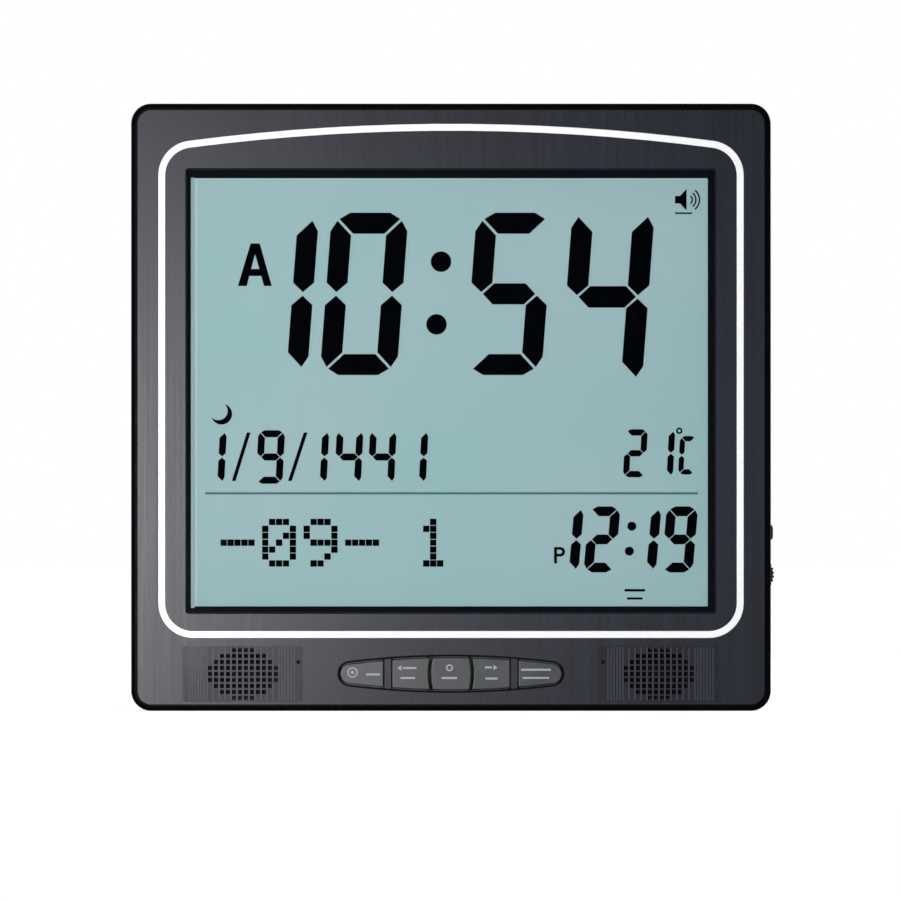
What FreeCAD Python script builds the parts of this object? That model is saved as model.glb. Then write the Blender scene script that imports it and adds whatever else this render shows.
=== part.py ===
import FreeCAD, Part
import math
import os
import re

import Sketcher
from FreeCAD import Placement, Rotation, Vector

# Azan clock: a wide display clock in a two-part moulded case, in millimetres.
# The clock stands upright on its flat bottom. +X is to the right of someone who reads the
# display, +Y goes from the front to the back, and +Z is up. The origin is at the middle of
# the bottom, half way through the case.

doc = FreeCAD.newDocument("azan_clock")

# Driving dimensions, in millimetres.

case_sizes = {
    "case_width": 256,
    "case_height": 243,
    "case_depth": 34,
    "case_corner": 8,
    "wall": 2.2,
    "bezel_depth": 12,
    "front_round": 1.9,
    "back_round": 3,
    "tongue_height": 2,
    "tongue_thickness": 1.2,
    "tongue_gap": 0.15,
}

front_sizes = {
    "opening_side": 22.5,
    "opening_crown": 26.6,
    "opening_bottom": 39.6,
    "opening_corner": 0.5,
    "opening_bevel": 0.8,
    "ring_side": 12.3,
    "ring_bottom": 30.6,
    "ring_crown": 9.5,
    "ring_arch": 811,
    "ring_corner": 12.5,
    "ring_band": 2.8,
    "ring_sunk": 1,
    "ring_proud": 0.3,
    "ring_round": 0.25,
    "ring_gap": 0.06,
    "strip_side": 20.6,
    "strip_bottom": 3.2,
    "strip_top": 26.4,
    "strip_depth": 0.6,
    "strip_lip_height": 1.4,
    "strip_lip_depth": 0.25,
    "strip_corner": 0.8,
    "pinhole_step": 22.2,
    "pinhole_level": 19.5,
    "pinhole_radius": 0.85,
}

display_sizes = {
    "border_side": 2.7,
    "border_top": 3.2,
    "border_bottom": 2.2,
    "window_overlap": 2,
    "window_thickness": 1.5,
    "window_corner": 1.5,
    "glass_side": 2.2,
    "glass_end": 5.8,
    "glass_ledge": 3.6,
    "glass_thickness": 1.1,
    "glass_gap": 0.3,
    "frame_lip": 0.8,
    "frame_wall": 1.8,
    "film_thickness": 0.3,
    "guide_thickness": 3,
    "guide_inset": 2,
    "contact_strip_width": 2.4,
    "contact_strip_short": 7,
    "contact_strip_out": 0.2,
    "led_gap": 0.1,
    "led_width": 1.6,
    "led_height": 3,
    "led_depth": 2.2,
    "led_end": 31.9,
}

board_sizes = {
    "board_edge": 3.2,
    "board_overlap": 0.2,
    "board_thickness": 1.6,
    "board_tab_gap": 1.7,
    "board_tab_root": 2,
    "board_tab_below": 10.4,
    "board_tab_above": 8.6,
    "board_screw_end": 11.8,
    "boss_clear": 0.7,
    "boss_radius": 3,
    "pilot_radius": 1.25,
    "screw_gap": 0.06,
    "screw_head_radius": 2.5,
    "screw_head_height": 1.6,
    "screw_length": 6,
    "slot_reach_share": 0.75,
    "slot_width_share": 0.2,
    "controller_radius": 9,
    "controller_height": 1.6,
    "controller_round": 1.28,
    "controller_level": 92,
    "audio_chip_place": 34,
    "audio_chip_width": 7.5,
    "audio_chip_length": 10,
    "audio_chip_height": 2,
    "crystal_place": 20,
    "crystal_radius": 1.5,
    "crystal_length": 6.2,
    "capacitor_side": 54,
    "capacitor_drop": 14,
    "capacitor_radius": 3.15,
    "capacitor_length": 7.5,
    "capacitor_spacing": 12,
}

key_sizes = {
    "pod_length": 90.6,
    "pod_height": 15,
    "pod_end": 5,
    "pod_depth": 0.4,
    "pod_level": 14.9,
    "key_margin": 0.9,
    "key_clearance": 0.3,
    "key_gap": 0.8,
    "key_proud": 0.5,
    "key_round": 0.5,
    "key_travel": 0.5,
    "centre_key_width": 16.4,
    "centre_key_barrel": 26,
    "side_key_reach": 23.7,
    "divider_width": 3.2,
    "flange_seat": 0.1,
    "flange_thickness": 1,
    "flange_height": 16.6,
    "flange_inset": 0.6,
    "centre_flange_width": 13.4,
    "far_plunger_place": 35.2,
    "side_plunger_place": 16.4,
    "plunger_radius": 1.7,
    "plunger_gap": 0.06,
    "plunger_sunk": 0.6,
    "switch_width": 6,
    "switch_depth": 3.5,
    "switch_rise": 1.2,
    "switch_spare": 0.3,
    "key_board_gap": 1.7,
    "key_board_bottom": 2.8,
    "key_board_top": 29.8,
    "key_boss_radius": 2.1,
    "key_pilot_radius": 0.95,
    "key_boss_share": 0.37,
    "key_boss_low": 6.2,
    "key_boss_high": 27.4,
    "key_screw_head": 1.9,
    "key_screw_length": 5,
    "reset_width": 4.4,
    "sensor_stand": 0.4,
    "sensor_radius": 1.6,
    "sensor_length": 2.2,
    "sensor_leg_radius": 0.25,
    "link_width": 14,
    "link_thickness": 0.4,
    "link_overlap": 6,
    "link_low_step": 0.4,
    "link_high_step": 0.6,
    "link_place": 24,
}

speaker_sizes = {
    "grille_side": 0.5,
    "speaker_level": 14.8,
    "grille_width": 47.4,
    "grille_height": 22,
    "grille_thickness": 1,
    "grille_corner": 0.6,
    "grille_gap": 0.08,
    "hole_pitch": 2.4,
    "hole_side": 1.6,
    "sound_margin": 1.3,
    "sound_corner": 2,
    "gasket_thickness": 1,
    "gasket_band": 1.5,
    "speaker_width": 34,
    "speaker_height": 22.6,
    "speaker_corner": 9,
    "speaker_depth": 5,
    "speaker_floor": 0.8,
    "speaker_wall": 1.2,
    "cone_depth": 3.2,
    "cone_skin": 0.5,
    "cone_rim_gap": 0.1,
    "cone_throat_width": 12,
    "cone_throat_height": 8,
    "cone_throat_corner": 3.6,
    "magnet_radius": 8,
    "magnet_depth": 3.8,
}

side_sizes = {
    "wheel_radius": 8,
    "wheel_thickness": 3,
    "wheel_proud": 1.6,
    "wheel_level": 54.4,
    "wheel_notches": 30,
    "notch_radius": 0.45,
    "wheel_stub_radius": 2,
    "wheel_stub_length": 2.2,
    "wheel_stub_gap": 0.05,
    "wheel_stub_spare": 0.2,
    "wheel_float": 0.3,
    "slot_gap": 0.5,
    "control_rise": 4.7,
    "pot_width": 7.4,
    "pot_height": 10,
    "button_level": 71.4,
    "button_radius": 3,
    "button_proud": 1.2,
    "button_dome": 0.8,
    "button_gap": 0.1,
    "button_flange_radius": 3.8,
    "button_flange_thickness": 0.8,
    "button_flange_seat": 0.2,
    "button_travel": 0.8,
    "button_stem_radius": 1.5,
    "button_stem_gap": 0.06,
    "button_stem_sunk": 0.7,
    "side_switch_width": 5,
    "side_switch_height": 6.4,
    "side_switch_wall": 1,
    "side_switch_set": 4.2,
    "control_gap_depth": 3,
    "control_gap_end": 1,
}

back_sizes = {
    "case_screw_side": 9.6,
    "case_screw_low": 9.6,
    "tube_radius": 4.4,
    "case_boss_radius": 3.2,
    "counterbore_radius": 3.1,
    "counterbore_floor": 2,
    "case_pilot_radius": 1.5,
    "case_head_radius": 2.8,
    "case_head_height": 2.2,
    "case_screw_length": 15,
    "case_pilot_spare": 0.5,
    "keyhole_crown": 27,
    "keyhole_radius": 4.5,
    "keyhole_slot_radius": 2.2,
    "keyhole_slot_rise": 9,
    "leg_width": 46,
    "leg_thickness": 3.2,
    "leg_sunk": 0.4,
    "leg_hinge_level": 120,
    "leg_bottom": 7.8,
    "leg_pad_height": 3,
    "leg_side_gap": 0.4,
    "leg_end_gap": 0.8,
    "leg_rib_width": 3,
    "leg_rib_depth": 1.2,
    "hinge_radius": 1.5,
    "hinge_gap": 0.05,
    "hinge_sunk": 2.6,
    "knuckle_radius": 2.4,
    "recess_depth": 5.2,
    "recess_wall": 1.5,
    "finger_notch_width": 12,
    "finger_notch_height": 18,
}

battery_sizes = {
    "bay_from_side": 60,
    "bay_level": 130,
    "bay_side_gap": 0.5,
    "bay_wall": 1.6,
    "bay_floor": 1.5,
    "cell_radius": 7.1,
    "cell_length": 49,
    "cell_nub_radius": 2.75,
    "cell_nub_length": 1.5,
    "cell_count": 3,
    "contact_thickness": 0.4,
    "contact_width": 9,
    "contact_dimple": 1.1,
    "contact_dimple_radius": 2.4,
    "spring_length": 6.6,
    "spring_radius": 3.2,
    "spring_wire": 0.35,
    "spring_turns": 3,
    "spring_end_gap": 0.05,
    "door_overlap": 2.4,
    "door_thickness": 1.9,
    "door_seat": 0.1,
    "door_gap": 0.25,
    "door_corner": 2,
    "door_edge": 0.5,
    "door_tab_width": 8,
    "door_tab_place": 18,
    "door_tab_thickness": 1.2,
    "door_tab_reach": 2.4,
    "door_tab_root": 3,
    "door_tab_gap": 0.5,
    "door_tab_slot_depth": 2.5,
    "door_tab_clear": 0.3,
    "door_tab_root_clear": 0.6,
    "door_tab_sunk": 0.2,
    "grip_width": 16,
    "grip_height": 1,
    "grip_depth": 0.5,
    "grip_step": 2.2,
    "grip_count": 4,
    "grip_inset": 4,
}

lead_sizes = {
    "lead_radius": 0.5,
    "lead_spacing": 2.4,
    "speaker_lead_start": 12,
    "speaker_lead_end": 24,
    "speaker_lead_rise": 4,
    "speaker_lead_back": 11,
    "speaker_lead_loop": 8,
    "speaker_lead_landing": 14,
    "battery_lead_inset": 6,
    "battery_lead_drop": 14,
}

# Holes in each row of a loudspeaker grille, from the bottom row to the top one.

hole_rows = (4, 8, 10, 12, 12, 12, 10, 8, 4)

# Places worked out from the driving dimensions. A level is a height above the bottom, and a
# name that ends in _y is a place from front to back.

place_formulas = {
    "face_y": "-case_depth / 2",
    "back_y": "case_depth / 2",
    "inner_y": "face_y + wall",
    "part_y": "face_y + bezel_depth",
    "rear_inner_y": "back_y - wall",
    "side_x": "case_width / 2",
    "inner_x": "side_x - wall",
    "middle_level": "case_height / 2",
    "strip_y": "face_y + strip_depth",
    "strip_width": "case_width - 2 * strip_side",
    "opening_width": "case_width - 2 * opening_side",
    "opening_height": "case_height - opening_crown - opening_bottom",
    "opening_centre": "opening_bottom + opening_height / 2",
    "ring_width": "case_width - 2 * ring_side",
    "ring_apex": "case_height - ring_crown",
    "ring_arch_level": "ring_apex - ring_arch",
    "grille_back_y": "strip_y + grille_thickness",
    "window_back_y": "inner_y + window_thickness",
    "lip_back_y": "window_back_y + frame_lip",
    "front_glass_back_y": "lip_back_y + glass_thickness",
    "rear_glass_back_y": "front_glass_back_y + glass_thickness",
    "film_back_y": "rear_glass_back_y + film_thickness",
    "board_y": "film_back_y + guide_thickness",
    "board_back_y": "board_y + board_thickness",
    "view_width": "opening_width - 2 * border_side",
    "view_height": "opening_height - border_top - border_bottom",
    "view_centre": "opening_centre + (border_bottom - border_top) / 2",
    "glass_width": "view_width + 2 * glass_side",
    "glass_height": "view_height + 2 * glass_end",
    "pocket_width": "glass_width + 2 * glass_gap",
    "pocket_height": "glass_height + 2 * glass_gap",
    "frame_width": "pocket_width + 2 * frame_wall",
    "frame_height": "pocket_height + 2 * frame_wall",
    "guide_width": "glass_width - 2 * guide_inset",
    "guide_height": "glass_height - 2 * glass_ledge",
    "contact_strip_place": "(glass_height - glass_ledge) / 2 + contact_strip_out",
    "contact_strip_length": "glass_width - 2 * contact_strip_short",
    "led_spacing": "guide_height / 2 - led_end",
    "board_height": "frame_height + 2 * board_overlap",
    "board_screw_place": "frame_width / 2 + boss_clear + boss_radius",
    "board_screw_step": "board_height / 2 - board_screw_end",
    "board_width": "2 * (board_screw_place + board_edge)",
    "capacitor_place": "board_width / 2 - capacitor_side",
    "board_tab_reach": "inner_x - board_tab_gap",
    "board_tab_bottom": "wheel_level - board_tab_below",
    "board_tab_top": "button_level + board_tab_above",
    "pod_reach": "pod_length / 2 - pod_end",
    "pod_rise": "pod_height / 2 - pod_end",
    "pod_arc": "(pod_reach * pod_reach - pod_rise * pod_rise) / (2 * pod_rise) + pod_height / 2",
    "key_front_y": "strip_y - key_proud",
    "flange_y": "inner_y + flange_seat",
    "flange_back_y": "flange_y + flange_thickness",
    "switch_y": "flange_back_y + switch_rise",
    "key_board_y": "switch_y + switch_depth",
    "key_board_back_y": "key_board_y + board_thickness",
    "far_key_inner": "side_key_reach + divider_width",
    "far_flange_end": "pod_length / 2 - key_margin - flange_inset",
    "speaker_place": "strip_width / 2 - grille_side - grille_width / 2",
    "pinhole_place": "speaker_place - pinhole_step",
    "speaker_inner": "speaker_place - speaker_width / 2",
    "key_board_width": "2 * (speaker_inner - key_board_gap)",
    "key_boss_place": "far_flange_end + key_boss_share * (speaker_inner - far_flange_end)",
    "sound_width": f"{max(hole_rows) - 1} * hole_pitch + hole_side + 2 * sound_margin",
    "sound_height": f"{len(hole_rows) - 1} * hole_pitch + hole_side",
    "gasket_back_y": "inner_y + gasket_thickness",
    "speaker_back_y": "gasket_back_y + speaker_depth",
    "control_y": "board_back_y + control_rise",
    "wheel_x": "side_x + wheel_proud - wheel_radius",
    "wheel_front_y": "control_y - wheel_thickness / 2",
    "wheel_back_y": "control_y + wheel_thickness / 2",
    "button_flange_x": "inner_x - button_flange_seat",
    "side_switch_face": "inner_x - side_switch_set",
    "case_screw_place": "side_x - case_screw_side",
    "case_screw_high": "case_height - case_screw_low",
    "keyhole_level": "case_height - keyhole_crown",
    "bay_place": "side_x - bay_from_side",
    "bay_length": "2 * contact_thickness + spring_length + cell_length + cell_nub_length + contact_dimple",
    "bay_height": "cell_count * 2 * cell_radius + (cell_count + 1) * bay_side_gap",
    "door_width": "bay_length + 2 * door_overlap",
    "door_height": "bay_height + 2 * door_overlap",
    "door_seat_y": "back_y - door_thickness - door_seat",
    "bay_floor_y": "door_seat_y - 2 * cell_radius - bay_side_gap",
    "cell_y": "bay_floor_y + bay_side_gap / 2 + cell_radius",
    "bay_low_x": "bay_place - bay_length / 2",
    "bay_high_x": "bay_place + bay_length / 2",
    "door_bottom": "bay_level - door_height / 2",
    "door_top": "bay_level + door_height / 2",
    "hinge_y": "back_y - hinge_sunk",
    "leg_y": "back_y - leg_sunk - leg_thickness",
    "recess_y": "back_y - recess_depth",
    "recess_width": "leg_width + 2 * leg_side_gap",
    "recess_bottom": "leg_bottom - leg_pad_height - leg_end_gap",
    "recess_top": "leg_hinge_level + knuckle_radius + leg_end_gap",
    "rod_reach": "recess_width / 2 + recess_wall",
}

size_groups = (case_sizes, front_sizes, display_sizes, board_sizes, key_sizes,
               speaker_sizes, side_sizes, back_sizes, battery_sizes, lead_sizes)


def make_sheet():
    sheet = doc.addObject("Spreadsheet::Sheet", "Sizes")
    row = 0
    for group in size_groups:
        for name, size in group.items():
            row += 1
            sheet.set(f"A{row}", name)
            sheet.set(f"B{row}", str(size))
            sheet.setAlias(f"B{row}", name)
    return sheet


sheet = make_sheet()
doc.recompute()
owner = {name: "Sizes." for group in size_groups for name in group}
places = doc.addObject("App::VarSet", "Places")


def full(text):
    return re.sub(r"[a-z][a-z_]*", lambda word: owner.get(word.group(), "") + word.group(), text)


for place, formula in place_formulas.items():
    places.addProperty("App::PropertyFloat", place, "Places", "")
    places.setExpression(place, full(formula))
    owner[place] = "Places."
doc.recompute()


# Reading sizes and binding them.

def number(text):
    found = sheet.evalExpression(full(str(text)))
    return float(getattr(found, "Value", found))


def bind(item, links):
    for path, text in links.items():
        item.setExpression(path, full(text))


# Sketches and the features made from them.

edge_tolerance = 1e-4
least_cut = 1e-6

def new_body(label):
    return doc.addObject("PartDesign::Body", label)


def new_sketch(body, name, y, x="0", z="0"):
    sketch = body.newObject("Sketcher::SketchObject", name)
    plane = next(item for item in body.Origin.OriginFeatures if item.Role == "XZ_Plane")
    sketch.AttachmentSupport = [(plane, "")]
    sketch.MapMode = "FlatFace"
    bind(sketch, {
        "AttachmentOffset.Base.x": x,
        "AttachmentOffset.Base.y": z,
        "AttachmentOffset.Base.z": f"-({y})",
    })
    return sketch


def constrain(sketch, kind, *values, formula=None):
    index = sketch.addConstraint(Sketcher.Constraint(kind, *values))
    if formula is not None:
        name = f"size_{index}"
        sketch.renameConstraint(index, name)
        sketch.setExpression(f"Constraints.{name}", full(formula))


def arc(x, z, radius, start, end):
    circle = Part.Circle(Vector(x, z, 0), Vector(0, 0, 1), radius)
    return Part.ArcOfCircle(circle, math.radians(start), math.radians(end))


def add_circle(sketch, radius):
    circle = Part.Circle(Vector(0, 0, 0), Vector(0, 0, 1), number(radius))
    index = sketch.addGeometry(circle, False)
    constrain(sketch, "Coincident", index, 3, -1, 1)
    constrain(sketch, "Radius", index, number(radius), formula=radius)


def add_rounded_rectangle(sketch, width, height, radius):
    reach, rise, bend = number(width) / 2, number(height) / 2, number(radius)
    corners = [(1, -1), (1, 1), (-1, 1), (-1, -1)]
    first = None
    for turn, (right, up) in enumerate(corners):
        centre_x = right * (reach - bend)
        centre_z = up * (rise - bend)
        along_x = (turn % 2 == 0)
        if along_x:
            line = Part.LineSegment(Vector(-centre_x, up * rise, 0), Vector(centre_x, up * rise, 0))
        else:
            line = Part.LineSegment(Vector(right * reach, -centre_z, 0), Vector(right * reach, centre_z, 0))
        index = sketch.addGeometry(line, False)
        first = index if first is None else first
        sketch.addGeometry(arc(centre_x, centre_z, bend, 90 * turn - 90, 90 * turn), False)
    for turn in range(4):
        line = first + 2 * turn
        constrain(sketch, "Tangent", line, 2, line + 1, 1)
        constrain(sketch, "Tangent", line + 1, 2, first + 2 * ((turn + 1) % 4), 1)
        constrain(sketch, "Horizontal" if turn % 2 == 0 else "Vertical", line)
        if turn:
            constrain(sketch, "Equal", first + 1, line + 1)
    constrain(sketch, "Radius", first + 1, bend, formula=radius)
    constrain(sketch, "DistanceX", first + 6, 1, first + 2, 1, 2 * reach, formula=width)
    constrain(sketch, "DistanceY", first, 1, first + 4, 1, 2 * rise, formula=height)
    constrain(sketch, "Symmetric", first + 1, 3, first + 5, 3, -1, 1)


def add_arched_loop(sketch, margin):
    # A loop with a flat bottom, upright sides, rounded corners and a gently arched top. The
    # margin moves it outwards all round from the middle line of the trim ring.
    reach = number(f"ring_width / 2 + {margin}")
    low = number(f"ring_bottom - {margin}")
    radius = number(f"ring_arch + {margin}")
    bend = number(f"ring_corner + {margin}")
    centre = number("ring_arch_level")
    side_x = reach - bend
    top_z = centre + math.sqrt((radius - bend) ** 2 - side_x ** 2)
    lean = math.degrees(math.atan2(top_z - centre, side_x))
    loop = [
        Part.LineSegment(Vector(-side_x, low, 0), Vector(side_x, low, 0)),
        arc(side_x, low + bend, bend, -90, 0),
        Part.LineSegment(Vector(reach, low + bend, 0), Vector(reach, top_z, 0)),
        arc(side_x, top_z, bend, 0, lean),
        arc(0, centre, radius, lean, 180 - lean),
        arc(-side_x, top_z, bend, 180 - lean, 180),
        Part.LineSegment(Vector(-reach, top_z, 0), Vector(-reach, low + bend, 0)),
        arc(-side_x, low + bend, bend, 180, 270),
    ]
    first = sketch.addGeometry(loop[0], False)
    for piece in loop[1:]:
        sketch.addGeometry(piece, False)
    bottom, right, arch, left = first, first + 2, first + 4, first + 6
    for step in range(len(loop)):
        constrain(sketch, "Tangent", first + step, 2, first + (step + 1) % len(loop), 1)
    constrain(sketch, "Vertical", right)
    constrain(sketch, "Vertical", left)
    for step in (3, 5, 7):
        constrain(sketch, "Equal", first + 1, first + step)
    constrain(sketch, "Radius", first + 1, bend, formula=f"ring_corner + {margin}")
    constrain(sketch, "Radius", arch, radius, formula=f"ring_arch + {margin}")
    constrain(sketch, "PointOnObject", arch, 3, -2)
    constrain(sketch, "Symmetric", bottom, 1, bottom, 2, -2)
    constrain(sketch, "DistanceX", left, 1, right, 1, 2 * reach, formula=f"ring_width + 2 * ({margin})")
    constrain(sketch, "DistanceY", -1, 1, bottom, 1, low, formula=f"ring_bottom - ({margin})")
    constrain(sketch, "DistanceY", arch, 3, -1, 1, -centre, formula="-ring_arch_level")


def add_boat(sketch, margin):
    # The outline of the key pod: long shallow arcs above and below, small round ends. The
    # margin moves it inwards all round.
    reach = number("pod_reach")
    end = number(f"pod_end - {margin}")
    radius = number(f"pod_arc - {margin}")
    drop = number("pod_arc - pod_height / 2")
    lean = math.degrees(math.atan2(drop, reach))
    loop = [
        arc(reach, 0, end, -lean, lean),
        arc(0, -drop, radius, lean, 180 - lean),
        arc(-reach, 0, end, 180 - lean, 180 + lean),
        arc(0, drop, radius, 180 + lean, 360 - lean),
    ]
    first = sketch.addGeometry(loop[0], False)
    for piece in loop[1:]:
        sketch.addGeometry(piece, False)
    for step in range(4):
        constrain(sketch, "Tangent", first + step, 2, first + (step + 1) % 4, 1)
    constrain(sketch, "Equal", first, first + 2)
    constrain(sketch, "Equal", first + 1, first + 3)
    constrain(sketch, "Radius", first, end, formula=f"pod_end - {margin}")
    constrain(sketch, "Radius", first + 1, radius, formula=f"pod_arc - {margin}")
    constrain(sketch, "Symmetric", first, 3, first + 2, 3, -1, 1)
    constrain(sketch, "PointOnObject", first, 3, -1)
    constrain(sketch, "DistanceX", first + 2, 3, first, 3, 2 * reach, formula="2 * pod_reach")


def pad(body, sketch, length):
    feature = body.newObject("PartDesign::Pad", f"{sketch.Name}_pad")
    feature.Profile = sketch
    feature.Reversed = True
    bind(feature, {"Length": length})
    doc.recompute()
    return feature


def pocket(body, sketch, length):
    before = body.Shape.Volume
    feature = body.newObject("PartDesign::Pocket", f"{sketch.Name}_pocket")
    feature.Profile = sketch
    bind(feature, {"Length": length})
    doc.recompute()
    if body.Shape.Volume > before - least_cut:
        raise RuntimeError(f"{feature.Name} cuts nothing")
    return feature


def edges_where(shape, chosen):
    return [f"Edge{index}" for index, edge in enumerate(shape.Edges, 1) if chosen(edge.BoundBox)]


def at_y(level):
    return lambda box: abs(box.YMin - level) < edge_tolerance and abs(box.YMax - level) < edge_tolerance


def dress(body, kind, name, chosen, size):
    base = body.Tip
    edges = edges_where(base.Shape, chosen)
    if not edges:
        raise RuntimeError(f"{name} finds no edge")
    feature = body.newObject(f"PartDesign::{kind}", name)
    feature.Base = (base, edges)
    bind(feature, {"Radius" if kind == "Fillet" else "Size": size})
    doc.recompute()
    return feature


def plate(label, y, thickness, width, height, corner, x="0", z="0"):
    body = new_body(label)
    sketch = new_sketch(body, f"{label}_outline", y, x, z)
    add_rounded_rectangle(sketch, width, height, corner)
    pad(body, sketch, thickness)
    return body


def rectangle_hole(body, name, y, depth, width, height, corner, x="0", z="0"):
    sketch = new_sketch(body, name, y, x, z)
    add_rounded_rectangle(sketch, width, height, corner)
    pocket(body, sketch, depth)


# Plain solids and booleans.

def block(label, x, y, z):
    box = doc.addObject("Part::Box", label)
    for axis, side, (low, high) in zip("xyz", ("Length", "Width", "Height"), (x, y, z)):
        bind(box, {f"Placement.Base.{axis}": low, side: f"({high}) - ({low})"})
    return box


rod_turns = {
    "x": Rotation(Vector(0, 1, 0), 90),
    "y": Rotation(Vector(1, 0, 0), -90),
    "z": Rotation(),
}


def rod(label, radius, axis, low, high, **across):
    cylinder = doc.addObject("Part::Cylinder", label)
    cylinder.Placement = Placement(Vector(), rod_turns[axis])
    bind(cylinder, {"Radius": radius, "Height": f"({high}) - ({low})", f"Placement.Base.{axis}": low})
    bind(cylinder, {f"Placement.Base.{name}": text for name, text in across.items()})
    return cylinder


def fuse(label, items):
    feature = doc.addObject("Part::MultiFuse", label)
    feature.Shapes = items
    return feature


def cut(label, base, tools):
    feature = doc.addObject("Part::Cut", label)
    feature.Base = base
    feature.Tool = tools[0] if len(tools) == 1 else fuse(f"{label}_tools", tools)
    return feature


def common(label, first, second):
    feature = doc.addObject("Part::Common", label)
    feature.Base = first
    feature.Tool = second
    return feature


def group(label, items):
    feature = doc.addObject("Part::Compound", label)
    feature.Links = items
    return feature


def round_edges(label, base, chosen, radius):
    doc.recompute()
    feature = doc.addObject("Part::Fillet", label)
    feature.Base = base
    size = number(radius)
    feature.Edges = [(int(name[4:]), size, size) for name in edges_where(base.Shape, chosen)]
    return feature


def screw(label, x, y, z, shank, shank_length, head, head_height):
    # The underside of the head is at y, and the shank points to the front.
    parts = [
        rod(f"{label}_shank", shank, "y", f"{y} - {shank_length}", y, x=x, z=z),
        rod(f"{label}_head", head, "y", y, f"{y} + {head_height}", x=x, z=z),
    ]
    slots = []
    shares = ("slot_reach_share", "slot_width_share")
    for turn, (wide, tall) in enumerate((shares, shares[::-1])):
        slots.append(block(
            f"{label}_slot_{turn}",
            (f"{x} - {wide} * {head}", f"{x} + {wide} * {head}"),
            (f"{y} + {head_height} / 2", f"{y} + {head_height}"),
            (f"{z} - {tall} * {head}", f"{z} + {tall} * {head}"),
        ))
    return cut(label, fuse(f"{label}_blank", parts), slots)


# Places of the screws, each a pair of formulas across and up.

case_screw_places = [(f"{side} * case_screw_place", level)
                     for side in (-1, 1) for level in ("case_screw_low", "case_screw_high")]
board_screw_places = [(f"{side} * board_screw_place", f"view_centre + {row} * board_screw_step")
                      for side in (-1, 1) for row in (-1, 0, 1)]
key_screw_places = [(f"{side} * key_boss_place", level)
                    for side in (-1, 1) for level in ("key_boss_low", "key_boss_high")]


# Key outlines, shared by the keys and by the openings that they stand in.

def boat_block(label, margin, front, back):
    body = new_body(label)
    sketch = new_sketch(body, f"{label}_outline", front, z="pod_level")
    add_boat(sketch, margin)
    pad(body, sketch, f"({back}) - ({front})")
    return body


def barrel(label, margin, front, back):
    # The upright lens shape of the middle key, between two long arcs.
    sides = []
    for side in (-1, 1):
        sides.append(rod(
            f"{label}_side_{len(sides)}", f"centre_key_barrel + {margin}", "y", front, back,
            x=f"{side} * (centre_key_barrel - centre_key_width / 2)", z="pod_level",
        ))
    return common(label, sides[0], sides[1])


def pod_span(label, base, low, high, front, back):
    box = block(f"{label}_span", (low, high), (front, back),
                ("pod_level - pod_height", "pod_level + pod_height"))
    return common(label, base, box)


# The front half of the case.

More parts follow.
